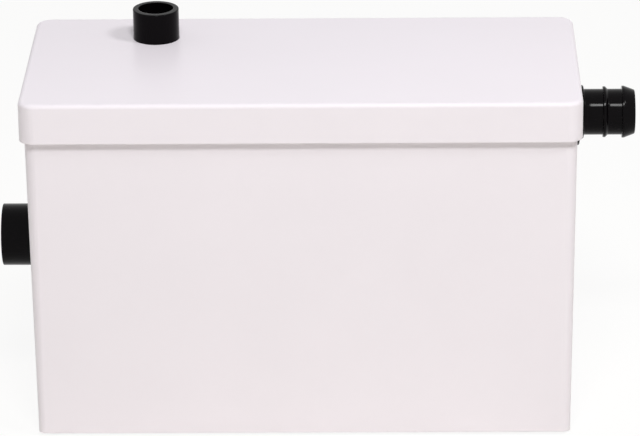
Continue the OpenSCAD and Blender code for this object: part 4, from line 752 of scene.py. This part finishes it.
@once("Mat studs")
def stud_tree(name):
    """Adds rows of round studs under a slab."""
    tree, given, out = geometry_tree(name, {
        "Width": ("Float", 0.35), "Depth": ("Float", 0.15), "Columns": ("Int", 30), "Rows": ("Int", 12),
        "Radius": ("Float", 3 * MM), "Height": ("Float", 1 * MM), "Material": ("Material", None)})
    sides = 16
    taper = 0.8
    places = output(tree, "GeometryNodeMeshGrid", {
        "Size X": given["Width"], "Size Y": given["Depth"],
        "Vertices X": given["Columns"], "Vertices Y": given["Rows"]})
    stud = output(tree, "GeometryNodeMeshCone", {
        "Vertices": sides, "Radius Top": given["Radius"],
        "Radius Bottom": math_node(tree, "MULTIPLY", given["Radius"], taper), "Depth": given["Height"]})
    spread = output(tree, "GeometryNodeInstanceOnPoints", {"Points": places, "Instance": stud})
    both = node(tree, "GeometryNodeJoinGeometry")
    for part in (given["Geometry"], spread):
        connect(tree, both, {0: part})
    return close_tree(tree, given, out, both.outputs[0])


@once("Winding bundles")
def coil_tree(name):
    """Wraps a curve in a round bundle of wire and repeats it round the Z axis."""
    tree, given, out = geometry_tree(name, {
        "Count": ("Int", 24), "Wire Radius": ("Float", 1.1 * MM), "Material": ("Material", None)})
    sides = 10
    profile = output(tree, "GeometryNodeCurvePrimitiveCircle", {
        "Resolution": sides, "Radius": given["Wire Radius"]})
    bundle = output(tree, "GeometryNodeCurveToMesh", {
        "Curve": given["Geometry"], "Profile Curve": profile, "Fill Caps": True})
    places = output(tree, "GeometryNodeMeshCircle", {"Vertices": given["Count"], "Radius": 1.0})
    spot = output(tree, "GeometryNodeInputPosition")
    turn = output(tree, "FunctionNodeAlignRotationToVector", {"Vector": spot}, axis="X")
    kept = output(tree, "GeometryNodeStoreNamedAttribute", {
        "Geometry": places, "Name": "turn", "Value": turn}, data_type="QUATERNION", domain="POINT")
    centre = output(tree, "ShaderNodeCombineXYZ")
    home = output(tree, "GeometryNodeSetPosition", {"Geometry": kept, "Position": centre})
    held = output(tree, "GeometryNodeInputNamedAttribute", {"Name": "turn"}, data_type="QUATERNION")
    spread = output(tree, "GeometryNodeInstanceOnPoints", {
        "Points": home, "Instance": bundle, "Rotation": held})
    return close_tree(tree, given, out, spread)


# Fittings

class PUMP_OT_outlet(bpy.types.Operator):
    """Builds the barbed hose tail with rounded moulded edges"""

    bl_idname = "pump.outlet"
    bl_label = "Hose tail"

    def execute(self, context):
        low, high, middle, size = span("outlet_hose_tail")
        outline = self.outline(context.scene.pump_sizes, low.x, high.x, size.y / 2)
        axis = line((0, middle.y, middle.z), ACROSS)
        mesh = turned("hose_tail", axis, outline, segments=128)
        piece("hose_tail", mesh, "black_plastic", ["outlet_hose_tail"])
        return {"FINISHED"}

    def outline(self, sizes, start, end, flange_r):
        """From the socket along the outside to the free end, and back along the bore."""
        flange = span("outlet_gasket").high.x
        collar = flange + sizes.outlet_flange
        neck = collar + sizes.outlet_collar_length
        barb = end - sizes.outlet_barb_length
        ring_end = barb - sizes.outlet_ring_gap
        ring = ring_end - sizes.outlet_ring_length
        ring_slope = ring_end - sizes.outlet_ring_length / 2
        socket_end = start + sizes.outlet_socket_depth
        tube_r = sizes.outlet_tube / 2
        collar_r = sizes.outlet_collar / 2
        ring_r = sizes.outlet_ring / 2
        barb_r = sizes.outlet_barb / 2
        tip_r = sizes.outlet_tip / 2
        bore_r = sizes.outlet_bore / 2
        socket_r = sizes.outlet_socket / 2
        root = 0.3 * MM
        crest = 0.35 * MM
        seat = 0.4 * MM
        bend = 0.5 * MM
        rim = 0.6 * MM
        sweep = 0.8 * MM
        lip = 0.9 * MM
        tip = 1.1 * MM
        nose = 1.2 * MM
        return filleted([
            (socket_r, start, seat), (tube_r, start, rim), (tube_r, flange, 0),
            (flange_r, flange, rim), (flange_r, collar, lip),
            (collar_r, collar, bend), (collar_r, neck, lip), (tube_r, neck, sweep),
            (tube_r, ring, root), (ring_r, ring, crest), (ring_r, ring_slope, bend),
            (tube_r, ring_end, sweep),
            (tube_r, barb, root), (barb_r, barb, crest), (barb_r, barb + sizes.outlet_crest, nose),
            (tip_r, end, tip), (bore_r, end, lip), (bore_r, socket_end, root), (socket_r, socket_end, root),
        ])


# Soft pieces

def washer(name, node_name, direction, bore, slot, body="housing"):
    """A clamped rubber ring whose free edges bulge."""
    box = span(node_name)
    thick = abs(box.size.dot(direction))
    bulge = 0.35 * thick
    outline = ring_outline(bore / 2, max(box.size) / 2, thick, bulge)
    axis = line(box.middle - direction * thick / 2, direction)
    piece(name, turned(name, axis, outline), slot, [node_name], body)


class PUMP_OT_soft_parts(bpy.types.Operator):
    """Builds the rubber sleeve, riser hose, washers, mat, lid seal and pump feet"""

    bl_idname = "pump.soft_parts"
    bl_label = "Soft parts"

    def execute(self, context):
        sizes = context.scene.pump_sizes
        self.sleeve(sizes)
        self.hose(sizes)
        self.mat(sizes)
        self.lid_seal(sizes)
        self.feet(sizes)
        washer("outlet_washer", "outlet_gasket", ACROSS, sizes.outlet_tube, "black_rubber")
        washer("top_washer", "top_inlet_gasket", UP, sizes.top_stub, "grey_rubber", "lid_cover")
        washer("side_washer", "side_inlet_gasket", ACROSS, sizes.side_stub, "grey_rubber")
        washer("cap_washer", "motor_cap_seal", UP, sizes.cap_bore, "black_rubber")
        return {"FINISHED"}

    def sleeve(self, sizes):
        """A folded tube with a grip and an inner stop at one end and a bead at both ends."""
        box = span("wc_sleeve")
        wall = sizes.sleeve_wall
        bead = sizes.bead
        free = box.size.x / 2 - wall - bead
        grip = sizes.sleeve_grip / 2
        neck = grip - sizes.sleeve_stop
        crest = neck + sizes.fold_height
        stop = sizes.sleeve_grip_length
        fold = stop + sizes.sleeve_stop
        end = box.size.y
        plain = end - sizes.sleeve_free_length
        step = (plain - fold) / 4
        soft = 1.6 * MM
        edge = 0.7 * MM
        folds = [(crest if i % 2 else neck, fold + i * step) for i in (1, 2, 3)]
        outline = filleted([
            (grip, 0, edge), (grip, stop, 0), (neck, stop, 0), (neck, fold, soft),
            *((radius, along, soft) for radius, along in folds),
            (free, plain, soft), (free, end, edge), (free + wall + bead, end, edge),
            (free + wall + bead, end - bead, edge), (free + wall, end - 2 * bead, edge),
            (free + wall, plain, soft),
            *((radius + wall, along, soft) for radius, along in reversed(folds)),
            (grip + wall, fold, edge), (grip + wall, 2 * bead, edge), (grip + wall + bead, bead, edge),
            (grip + wall + bead, 0, edge),
        ])
        axis = line((box.middle.x, box.low.y, box.middle.z), BACK)
        mesh = turned("toilet_sleeve", axis, outline, segments=128)
        piece("toilet_sleeve", mesh, "black_rubber", ["wc_sleeve"])

    def hose(self, sizes):
        """A tube that leaves level and bends upright, with a chamfered lip at both ends."""
        low, high, middle, size = span("riser_hose")
        outer = size.y / 2
        inner = outer - sizes.hose_wall
        bend = sizes.hose_bend
        lip = 1.2 * MM
        level = low.z + outer
        riser = high.x - outer
        steps = 24
        points = [Vector((low.x, middle.y, level))]
        for i in range(steps + 1):
            heading = math.pi / 2 * i / steps
            points.append(Vector((
                riser - bend + bend * math.sin(heading), middle.y, level + bend - bend * math.cos(heading))))
        points.append(Vector((riser, middle.y, high.z)))
        start, *between, end = way(points)
        wall = [(start, 0, outer - lip), (start, lip, outer)]
        wall += [(matrix, 0, outer) for matrix in between]
        wall += [(end, -lip, outer), (end, 0, outer - lip)]
        wall += [(matrix, along, inner) for matrix, along, radius in reversed(wall)]
        rings = []
        for x, y in ring_section(1.0, sides=64):
            spoke = Vector((x, y, 0))
            rings.append([matrix @ (spoke * radius + UP * along) for matrix, along, radius in wall])
        piece("riser", lofted("riser", rings, closed=True, sharp=50), "black_rubber", ["riser_hose"])

    def mat(self, sizes):
        """A slab on round studs, which reach a little way into it."""
        low, high, _, size = span("base_mat")
        stud = sizes.stud_height
        lap = 0.3 * MM
        edge = 0.5 * MM
        margin = 4 * sizes.stud_radius
        width = size.x - margin
        depth = size.y - margin
        slab = block("mat", (low.x, low.y, stud), (high.x, high.y, size.z), edge)
        mesh = grow("mat", slab, stud_tree(), {
            "Width": width, "Depth": depth, "Columns": int(width / sizes.stud_pitch),
            "Rows": int(depth / sizes.stud_pitch), "Radius": sizes.stud_radius, "Height": stud + lap,
            "Material": finish_for("grey_rubber")})
        mesh.transform(Matrix.Translation((0, 0, low.z)))
        piece("mat", mesh, "grey_rubber", ["base_mat"])

    def lid_seal(self, sizes):
        """A strip with a groove along its top, carried round a rectangle with rounded corners."""
        low, _, middle, size = span("lid_gasket")
        width = sizes.seal_width
        height = size.z
        corner = sizes.seal_corner
        half_x = size.x / 2 - corner
        half_y = size.y / 2 - corner
        steps = 8
        frames = []
        for quarter in range(4):
            right = 1 if quarter in (0, 3) else -1
            back = 1 if quarter in (0, 1) else -1
            centre = Vector((middle.x + right * half_x, middle.y + back * half_y, low.z))
            for i in range(steps + 1):
                heading = math.pi / 2 * (quarter + i / steps)
                out = Vector((math.cos(heading), math.sin(heading), 0))
                turn = Matrix((out, UP, out.cross(UP))).transposed().to_4x4()
                frames.append(Matrix.Translation(centre + out * corner) @ turn)
        soft = 0.5 * MM
        groove = 0.35 * height
        corners = [
            (0, 0), (0, height), (-0.36 * width, height), (-0.5 * width, height - groove),
            (-0.64 * width, height), (-width, height), (-width, 0)]
        section = filleted([(across, along, soft) for across, along in corners], steps=3)
        piece("lid_seal", swept("lid_seal", frames, section, closed=True), "grey_rubber", ["lid_gasket"])

    def feet(self, sizes):
        """Four rubber feet with a waist."""
        low, high, _, size = span("pump_mounts")
        r = sizes.foot / 2
        h = size.z
        waist = 0.78 * r
        soft = 0.8 * MM
        edge = 0.6 * MM
        outline = filleted([
            (0, 0, 0), (r, 0, edge), (r, 0.25 * h, soft), (waist, 0.4 * h, soft),
            (waist, 0.6 * h, soft), (r, 0.75 * h, soft), (r, h, edge), (0, h, 0)])
        feet = []
        for x in (low.x + r, high.x - r):
            for y in (low.y + r, high.y - r):
                feet.append(turned("foot", line((x, y, low.z), UP), outline, segments=40))
        piece("pump_feet", joined("pump_feet", feet), "black_rubber", ["pump_mounts"])


class PUMP_OT_valves(bpy.types.Operator):
    """Builds the rubber flaps, the switch's diaphragm and the bellows of the shaft seal"""

    bl_idname = "pump.valves"
    bl_label = "Flaps and diaphragm"

    def execute(self, context):
        sizes = context.scene.pump_sizes
        half = sizes.knuckle / 2
        low, high, middle, size = span("side_inlet_flap")
        disc = Vector((middle.x, middle.y, low.z + size.y / 2))
        pin = Vector((middle.x, middle.y, high.z - half))
        mesh = self.flap(sizes, size.y, disc, pin, ACROSS, sizes.side_knuckle)
        piece("side_flap", mesh, "black_rubber", ["side_inlet_flap"], "inlet_flap")
        low, high, middle, size = span("check_valve_flap")
        pin = Vector((low.x + half, middle.y, high.z - half))
        disc = Vector((high.x - size.y / 2, middle.y, pin.z - sizes.valve_pin_rise))
        mesh = self.flap(sizes, size.y, disc, pin, UP, sizes.valve_knuckle)
        piece("valve_flap", mesh, "black_rubber", ["check_valve_flap"], "valve_flap")
        self.diaphragm()
        self.bellows(sizes)
        return {"FINISHED"}

    def flap(self, sizes, diameter, disc, pin, back, width):
        """A disc with a dished back, an arm and a knuckle round a pin that lies along Y."""
        r = diameter / 2
        thick = sizes.flap
        floor = thick - 0.6 * MM
        soft = 0.7 * MM
        edge = 0.4 * MM
        plate = turned("plate", line(disc - back * thick / 2, back), filleted([
            (0, 0, 0), (r, 0, soft), (r, thick, soft), (0.8 * r, thick, edge), (0.76 * r, floor, edge),
            (0, floor, 0)]))
        arm_inset = 0.1 * MM
        arm_edge = 0.5 * MM
        reach = pin - disc
        reach -= back * reach.dot(back)
        side = Vector((0, width / 2, 0)) + back * (thick / 2 - arm_inset)
        start = disc + reach * 0.5
        end = disc + reach - reach.normalized() * sizes.knuckle / 3
        arm = block("arm", *limits([start - side, start + side, end - side, end + side]), arm_edge)
        ring = ring_outline(sizes.knuckle_bore / 2, sizes.knuckle / 2, width, edge)
        knuckle = turned("knuckle", line(pin - Vector((0, width / 2, 0)), BACK), ring, segments=40)
        return joined("flap", [plate, arm, knuckle])

    def diaphragm(self):
        """A disc with a ring groove below and a narrower one above; places are shares of its size."""
        low, _, middle, size = span("switch_diaphragm")
        soft = 0.3 * MM
        below = [(0.36, 0), (0.385, 0.3), (0.48, 0.3), (0.505, 0)]
        above = [(0.445, 1), (0.43, 0.65), (0.405, 0.65), (0.39, 1)]
        corners = [*below, (1, 0), (1, 1), *above]
        skin = [(across * size.x / 2, along * size.z, soft) for across, along in corners]
        outline = filleted([(0, 0, 0), *skin, (0, size.z, 0)])
        axis = line((middle.x, middle.y, low.z), UP)
        piece("diaphragm", turned("diaphragm", axis, outline), "black_rubber", ["switch_diaphragm"])

    def bellows(self, sizes):
        """A collar, folds and a face ring round the shaft."""
        low, _, middle, size = span("seal_head")
        r = size.x / 2
        bore = sizes.seal_bore / 2
        collar = 4 * MM
        face = size.z - 5 * MM
        valley = r - 2.4 * MM
        crest = r - 0.6 * MM
        soft = 0.5 * MM
        steps = 6
        step = (face - collar) / steps
        folds = [(valley if i % 2 else crest, collar + i * step, soft) for i in range(1, steps)]
        outline = filleted([
            (bore, 0, soft), (r, 0, soft), (r, collar, soft), *folds, (r, face, soft), (r, size.z, soft),
            (bore, size.z, soft)])
        axis = line((middle.x, middle.y, low.z), UP)
        piece("seal_bellows", turned("seal_bellows", axis, outline), "black_rubber", ["seal_head"], "rotor")


# Screws and clips

def islands(mesh):
    """Corner points of each separate body in a mesh."""
    work = bmesh.new()
    work.from_mesh(mesh)
    bmesh.ops.remove_doubles(work, verts=work.verts, dist=CAD_WELD)
    left = dict.fromkeys(work.verts)
    found = []
    while left:
        queue = [left.popitem()[0]]
        group = []
        while queue:
            vert = queue.pop()
            group.append(vert.co.copy())
            for edge in vert.link_edges:
                other = edge.other_vert(vert)
                if other in left:
                    del left[other]
                    queue.append(other)
        found.append(group)
    work.free()
    return found


def screw_places(node_name):
    """Diameter, length of the shank, foot of the head and heading of each screw in a CAD node."""
    rim_share = 0.4
    places = []
    for points in islands(frame["nodes"][node_name].data):
        low, high = limits(points)
        size = high - low
        middle = (low + high) / 2
        axis = max(range(3), key=lambda i: size[i])
        cross = (axis + 1) % 3
        rim = [p for p in points if abs((p - middle)[cross]) > rim_share * size[cross]]
        heading = Vector((0, 0, 0))
        heading[axis] = math.copysign(1.0, sum(p[axis] for p in rim) / len(rim) - middle[axis])
        diameter = size[cross] / 2
        head = HEAD_HEIGHT * diameter
        foot = middle + heading * (size[axis] / 2 - head)
        places.append((round(diameter, 5), round(size[axis] - head, 5), foot, heading))
    return places


def cross_outline(reach, half):
    """A cross of 24 points, from the end of its arm along X."""
    between = (reach + half) / 2
    arm = [(reach, 0), (reach, half), (between, half), (half, half), (half, between), (half, reach)]
    return [Matrix.Rotation(turn * math.pi / 2, 2) @ Vector(point) for turn in range(4) for point in arm]


def pan_head_screw(shank):
    """A screw of diameter 1 along Z with a cross recess; its head stands on z = 0."""
    sides = 24
    tip_radius = 0.35
    tip_length = 0.2
    rim_height = 0.35
    crown_radius = 0.72
    recess_depth = 0.35
    sections = [
        (ring_section(tip_radius, sides), -shank),
        (ring_section(0.5, sides), tip_length - shank),
        (ring_section(0.5, sides), 0),
        (ring_section(1, sides), 0),
        (ring_section(1, sides), rim_height),
        (ring_section(crown_radius, sides), HEAD_HEIGHT),
        (cross_outline(reach=0.55, half=0.125), HEAD_HEIGHT),
        (cross_outline(reach=0.5, half=0.1), HEAD_HEIGHT - recess_depth),
    ]
    return lofted("screw", [[Vector((x, y, z)) for x, y in outline] for outline, z in sections])


class PUMP_OT_screws(bpy.types.Operator):
    """Sets pan-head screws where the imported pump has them"""

    bl_idname = "pump.screws"
    bl_label = "Screws"

    def execute(self, context):
        for part in frame["record"]["subparts"]:
            if part["node"].endswith("_screws"):
                self.screw_set(part["node"])
        return {"FINISHED"}

    def screw_set(self, node_name):
        """All screws of a CAD node, one kind of screw after the other."""
        kinds = {}
        for diameter, shank, foot, heading in screw_places(node_name):
            kinds.setdefault((diameter, shank), []).append((foot, heading))
        meshes = []
        for (diameter, shank), spots in kinds.items():
            points = bpy.data.meshes.new("spots")
            points.from_pydata([foot for foot, heading in spots], [], [])
            stored = points.attributes.new("heading", "FLOAT_VECTOR", "POINT")
            for item, (foot, heading) in zip(stored.data, spots):
                item.vector = heading
            screw = bpy.data.objects.new("screw", pan_head_screw(shank / diameter))
            meshes.append(grow("screws", points, screw_tree(), {
                "Screw": screw, "Diameter": diameter, "Material": finish_for("steel")}))
            bpy.data.objects.remove(screw)
        whole = shaded(joined(node_name + "_set", meshes), sharp=30)
        body = body_of(frame["nodes"][node_name])[0]
        piece(node_name + "_set", whole, "steel", [node_name], body)


def clip_band(inner, width, thickness):
    """A slotted steel band round Z, from z = 0, with facets so narrow that each slot crosses an edge."""
    outer = inner + thickness
    round_length = 2 * math.pi * outer
    facet = 1.2 * MM
    pitch = 3.2 * MM
    edge = 0.15 * MM
    outline = ring_outline(inner, outer, width, edge, steps=2)
    band = turned("band", line((0, 0, 0), UP), outline, segments=int(round_length / facet))
    band.transform(Matrix.Translation((0, 0, -width / 2)))
    band = grow("band", band, band_tree(), {
        "Radius": outer, "Slots": int(round_length / pitch), "Width": width, "Material": finish_for("steel")})
    band.transform(Matrix.Translation((0, 0, width / 2)))
    return band


def clip_screw(middle):
    """A tightening screw along Y with a head at its far end and a round recess in the head."""
    whole = 20 * MM
    head = whole - 4 * MM
    floor = whole - 1.2 * MM
    r = 3 * MM
    shank = 0.7 * r
    recess = 0.3 * r
    fine = 0.2 * MM
    outline = filleted([
        (0, 0, 0), (shank, 0, fine), (shank, head, 0), (r, head, 0.3 * MM), (r, whole, 0.5 * MM),
        (recess, whole, fine), (recess, floor, 0), (0, floor, 0)], steps=3)
    return turned("worm", line(middle - BACK * whole / 2, BACK), outline, segments=24)


def worm_clip(bore, width, thickness):
    """A band with its screw housing on the +X side; its axis is Z and it starts at z = 0."""
    outer = bore / 2 + thickness
    overhang = 0.5 * MM
    deep = 7 * MM
    half = 6.5 * MM
    sink = 0.4 * MM
    edge = 1.2 * MM
    start = outer - sink
    housing = block(
        "housing", (start, -half, -overhang), (start + deep, half, width + overhang), edge)
    screw = clip_screw(Vector((outer + deep / 2, 0, width / 2)))
    return joined("clip", [clip_band(bore / 2, width, thickness), housing, screw])


def fitted_circle(points):
    """Centre and diameter of the ring that the innermost third of the corner points lies on."""
    low = Vector((min(p.x for p in points), min(p.y for p in points)))
    high = Vector((max(p.x for p in points), max(p.y for p in points)))
    centre = (low + high) / 2
    rounds = 60
    for _ in range(rounds):
        near = sorted(points, key=lambda p: (p - centre).length)[:len(points) // 3]
        mean = sum((p - centre).length for p in near) / len(near)
        shift = sum(((p - centre).normalized() * ((p - centre).length - mean) for p in near), Vector((0, 0)))
        centre = centre + shift * 2 / len(near)
    return centre, 2 * min((p - centre).length for p in points)


class PUMP_OT_clips(bpy.types.Operator):
    """Builds the worm-drive clips on the sleeve and on the riser hose"""

    bl_idname = "pump.clips"
    bl_label = "Hose clips"

    def execute(self, context):
        self.clip_set("wc_sleeve_clips")
        self.clip_set("hose_clips")
        return {"FINISHED"}

    def clip_set(self, node_name):
        meshes = [self.clip(points) for points in islands(frame["nodes"][node_name].data)]
        whole = shaded(joined(node_name + "_set", meshes), sharp=35)
        piece(node_name + "_set", whole, "steel", [node_name])

    def clip(self, points):
        """A clip fitted to the ring of corner points on the band's bore."""
        sizes = bpy.context.scene.pump_sizes
        band = 2.5 * MM
        low, high = limits(points)
        size = high - low
        axis = min(range(3), key=lambda i: size[i])
        first, second = [i for i in range(3) if i != axis]
        flat = [Vector((p[first], p[second])) for p in points]
        centre, bore = fitted_circle(flat)
        lump = [p for p in flat if (p - centre).length > bore / 2 + band]
        toward = sum(lump, Vector((0, 0))) / len(lump) - centre
        out = Vector((0, 0, 0))
        out[first], out[second] = toward.normalized()
        along = Vector((0, 0, 0))
        along[axis] = 1.0
        turn = Matrix((out, along.cross(out), along)).transposed().to_4x4()
        place = Vector((0, 0, 0))
        place[first], place[second] = centre
        place[axis] = (low[axis] + high[axis]) / 2 - sizes.clip_width / 2
        mesh = worm_clip(bore, sizes.clip_width, sizes.clip_thickness)
        mesh.transform(Matrix.Translation(place) @ turn)
        return mesh


# Motor and switch

class PUMP_OT_motor(bpy.types.Operator):
    """Winds the stator, lays the motor lead and coils the switch's return spring"""

    bl_idname = "pump.motor"
    bl_label = "Motor and switch"

    def execute(self, context):
        sizes = context.scene.pump_sizes
        self.windings(sizes)
        self.lead(sizes)
        self.spring(sizes)
        return {"FINISHED"}

    def windings(self, sizes):
        """A closed coil through two slots of the core, with end turns above and below, once for each slot."""
        low, high, middle, size = span("stator_windings")
        core = span("stator_core")
        wire = sizes.winding_wire / 2
        inner = sizes.winding_bore / 2 + wire
        outer = size.x / 2 - wire
        slots_spanned = 5
        throw = 2 * math.pi / sizes.winding_slots * slots_spanned
        steps = 10

        def end_turn(share, base, rise):
            """A point of an end turn, which climbs from the bore to the outside over some slots."""
            radius = inner + (outer - inner) * share
            z = base + rise * math.sin(math.pi * share)
            return Vector((radius * math.cos(throw * share), radius * math.sin(throw * share), z))

        rise = high.z - wire - core.high.z
        drop = core.low.z - low.z - wire
        path = [end_turn(0, core.low.z, -drop)]
        path += [end_turn(i / steps, core.high.z, rise) for i in range(steps + 1)]
        path += [end_turn(1 - i / steps, core.low.z, -drop) for i in range(steps)]
        curve = bpy.data.curves.new("hairpin", "CURVE")
        curve.dimensions = "3D"
        spline = curve.splines.new("POLY")
        spline.points.add(len(path) - 1)
        for point, place in zip(spline.points, path):
            point.co = (place.x, place.y, place.z - middle.z, 1.0)
        spline.use_cyclic_u = True
        mesh = grow("windings", curve, coil_tree(), {
            "Count": sizes.winding_slots, "Wire Radius": wire, "Material": finish_for("copper")})
        mesh.transform(Matrix.Translation(middle))
        piece("windings", mesh, "copper", ["stator_windings"])

    def lead(self, sizes):
        """A cable from the motor cap to the control box, which rises in a smooth arch on the way."""
        low, high, _, size = span("motor_lead")
        r = sizes.lead / 2
        tuck = 6 * MM
        steps = 28
        # The curve rises by this share of the height of its two inner hooks
        peak_share = 0.75
        out = Vector((math.cos(sizes.lead_angle), math.sin(sizes.lead_angle), 0))
        level = low.z + r
        mouth = Vector((0, span("motor_cap").middle.y, level)) + out * sizes.lead_mouth
        entry = Vector((high.x, span("control_box").middle.y, level))
        bow = (entry.x - mouth.x) / 3
        rise = Vector((0, 0, size.z - 2 * r)) / peak_share
        hooks = [mouth, mouth + out * bow + rise, entry - Vector((bow, 0, 0)) + rise, entry]
        points = [mouth - out * tuck]
        for i in range(steps + 1):
            t = i / steps
            s = 1 - t
            weights = (s ** 3, 3 * s * s * t, 3 * s * t * t, t ** 3)
            points.append(sum((weight * hook for weight, hook in zip(weights, hooks)), Vector((0, 0, 0))))
        piece("lead", swept("lead", way(points), ring_section(r, sides=20)), "dark_plastic", ["motor_lead"])

    def spring(self, sizes):
        """A coil between the plunger's two seats."""
        low, high, middle, size = span("plunger_spring")
        wire = sizes.spring_wire / 2
        r = size.x / 2 - wire
        turns = 4
        per_turn = 28
        points = []
        for i in range(turns * per_turn + 1):
            heading = 2 * math.pi * i / per_turn
            share = i / (turns * per_turn)
            points.append(Vector((
                middle.x + r * math.cos(heading), middle.y + r * math.sin(heading),
                low.z + wire + (size.z - 2 * wire) * share)))
        mesh = swept("return_spring", way(points), ring_section(wire, sides=10))
        made = piece("return_spring", mesh, "steel", ["plunger_spring"])
        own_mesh(made)


# Stage

class Lamp(NamedTuple):
    """Place, aim and size of a soft light, in metres."""

    place: tuple
    aim: tuple
    width: float
    height: float


LAMPS = {
    "key": Lamp(place=(1.45, -0.75, 2.1), aim=(0, 0, 0.15), width=0.55, height=0.55),
    "front": Lamp(place=(0.1, -1.5, 2.3), aim=(0.1, 0, 0.12), width=0.8, height=0.5),
    "fill": Lamp(place=(-1.1, -1.7, 0.2), aim=(0, 0, 0.05), width=1.4, height=0.4),
}


def soft_light(name, lamp, watts):
    light = bpy.data.lights.new(name, "AREA")
    light.shape = "RECTANGLE"
    light.size = lamp.width
    light.size_y = lamp.height
    light.energy = watts
    made = bpy.data.objects.new(name, light)
    made.location = lamp.place
    made.rotation_mode = "QUATERNION"
    made.rotation_quaternion = (Vector(lamp.aim) - Vector(lamp.place)).to_track_quat("-Z", "Y")
    bpy.context.scene.collection.objects.link(made)


def background_rays(tree):
    """A mask of the rays that see the white background: the camera's, and those of gloss and glass."""
    path = node(tree, "ShaderNodeLightPath").outputs
    clear = math_node(tree, "MAXIMUM", path["Is Camera Ray"], path["Is Transmission Ray"])
    return math_node(tree, "MAXIMUM", clear, path["Is Glossy Ray"])


def floor_material(settings):
    """White background that keeps a share of the floor's own shading, so the shadow shows."""
    material = bpy.data.materials.new("pale_floor")
    material.use_nodes = True
    tree = material.node_tree
    tree.nodes.clear()
    white = output(tree, "ShaderNodeEmission", {"Color": WHITE, "Strength": 1.0})
    own = output(tree, "ShaderNodeBsdfDiffuse", {"Color": (*settings.floor, 1.0)})
    share = math_node(tree, "MULTIPLY", background_rays(tree), 1.0 - settings.floor_shade)
    mix = output(tree, "ShaderNodeMixShader", {0: share, 1: own, 2: white})
    node(tree, "ShaderNodeOutputMaterial", {"Surface": mix})
    return material


def studio_floor(settings):
    """A wide floor just under the part."""
    half = 6.0
    gap = 0.2 * MM
    mesh = bpy.data.meshes.new("floor")
    corners = [(-half, -half, -gap), (half, -half, -gap), (half, half, -gap), (-half, half, -gap)]
    mesh.from_pydata(corners, [], [(0, 1, 2, 3)])
    mesh.materials.append(floor_material(settings))
    floor = bpy.data.objects.new("floor", mesh)
    bpy.context.scene.collection.objects.link(floor)


def studio_sky(settings):
    """Soft white light that is stronger on some sides, before a plain white background."""
    world = bpy.data.worlds.new("studio_sky")
    bpy.context.scene.world = world
    world.use_nodes = True
    tree = world.node_tree
    toward = node(tree, "ShaderNodeTexCoord").outputs["Generated"]
    side = node(tree, "ShaderNodeVectorMath", {0: toward, 1: settings.sky_lean}, operation="DOT_PRODUCT")
    lean = math_node(tree, "MAXIMUM", math_node(tree, "ADD", side.outputs["Value"], 1.0), 0.0)
    light = math_node(tree, "MULTIPLY", lean, settings.sky)
    strength = math_node(tree, "MAXIMUM", light, background_rays(tree))
    connect(tree, tree.nodes["Background"], {"Color": WHITE, "Strength": strength})


def photo_camera(settings):
    """The photograph's view, from its pitch, yaw, roll, distance and focal length."""
    far = 50.0
    forward = Vector((
        math.cos(settings.pitch) * math.sin(settings.yaw),
        math.cos(settings.pitch) * math.cos(settings.yaw),
        -math.sin(settings.pitch)))
    level = Vector((math.cos(settings.yaw), -math.sin(settings.yaw), 0.0))
    upright = level.cross(forward)
    right = level * math.cos(settings.roll) + upright * math.sin(settings.roll)
    up = upright * math.cos(settings.roll) - level * math.sin(settings.roll)
    data = bpy.data.cameras.new("photo_camera")
    data.sensor_width = SENSOR_WIDTH
    data.lens = settings.focal_pixels / PHOTO_WIDTH * SENSOR_WIDTH
    data.clip_end = far
    camera = bpy.data.objects.new("photo_camera", data)
    turn = Matrix((right, up, -forward)).transposed().to_4x4()
    camera.matrix_world = Matrix.Translation(Vector(settings.target) - forward * settings.distance) @ turn
    bpy.context.scene.collection.objects.link(camera)
    bpy.context.scene.camera = camera


class PUMP_OT_stage(bpy.types.Operator):
    """Sets the floor, the light and the camera"""

    bl_idname = "pump.stage"
    bl_label = "Set the stage"

    def execute(self, context):
        settings = context.scene.pump_stage
        context.scene.view_settings.view_transform = "Standard"
        studio_floor(settings)
        studio_sky(settings)
        for name, lamp in LAMPS.items():
            soft_light(name + "_light", lamp, getattr(settings, name))
        photo_camera(settings)
        return {"FINISHED"}


# Add-on

class PUMP_PT_sidebar(bpy.types.Panel):
    """Lists the steps that dress the pump"""

    bl_idname = "PUMP_PT_sidebar"
    bl_label = "Macerator pump"
    bl_space_type = "VIEW_3D"
    bl_region_type = "UI"
    bl_category = "Pump"

    def draw(self, context):
        for step in STEPS:
            self.layout.operator(step.bl_idname)
        for group in (context.scene.pump_colours, context.scene.pump_sizes, context.scene.pump_stage):
            box = self.layout.box()
            for name in group.bl_rna.properties.keys():
                if name not in ("rna_type", "name"):
                    box.prop(group, name)


STEPS = (
    PUMP_OT_stage, PUMP_OT_finishes, PUMP_OT_outlet, PUMP_OT_soft_parts, PUMP_OT_valves, PUMP_OT_screws,
    PUMP_OT_clips, PUMP_OT_motor,
)
GROUPS = {"pump_colours": PumpColours, "pump_sizes": PumpSizes, "pump_stage": StageSettings}


def register():
    for name, group in GROUPS.items():
        bpy.utils.register_class(group)
        setattr(bpy.types.Scene, name, PointerProperty(type=group))
    for step in STEPS:
        bpy.utils.register_class(step)
    bpy.utils.register_class(PUMP_PT_sidebar)


def unregister():
    bpy.utils.unregister_class(PUMP_PT_sidebar)
    for step in reversed(STEPS):
        bpy.utils.unregister_class(step)
    for name, group in GROUPS.items():
        delattr(bpy.types.Scene, name)
        bpy.utils.unregister_class(group)


def main():
    register()
    bpy.ops.pump.stage()
    bpy.ops.pump.finishes()
    bpy.ops.pump.outlet()
    bpy.ops.pump.soft_parts()
    bpy.ops.pump.valves()
    bpy.ops.pump.screws()
    bpy.ops.pump.clips()
    bpy.ops.pump.motor()


if __name__ == "__main__":
    main()
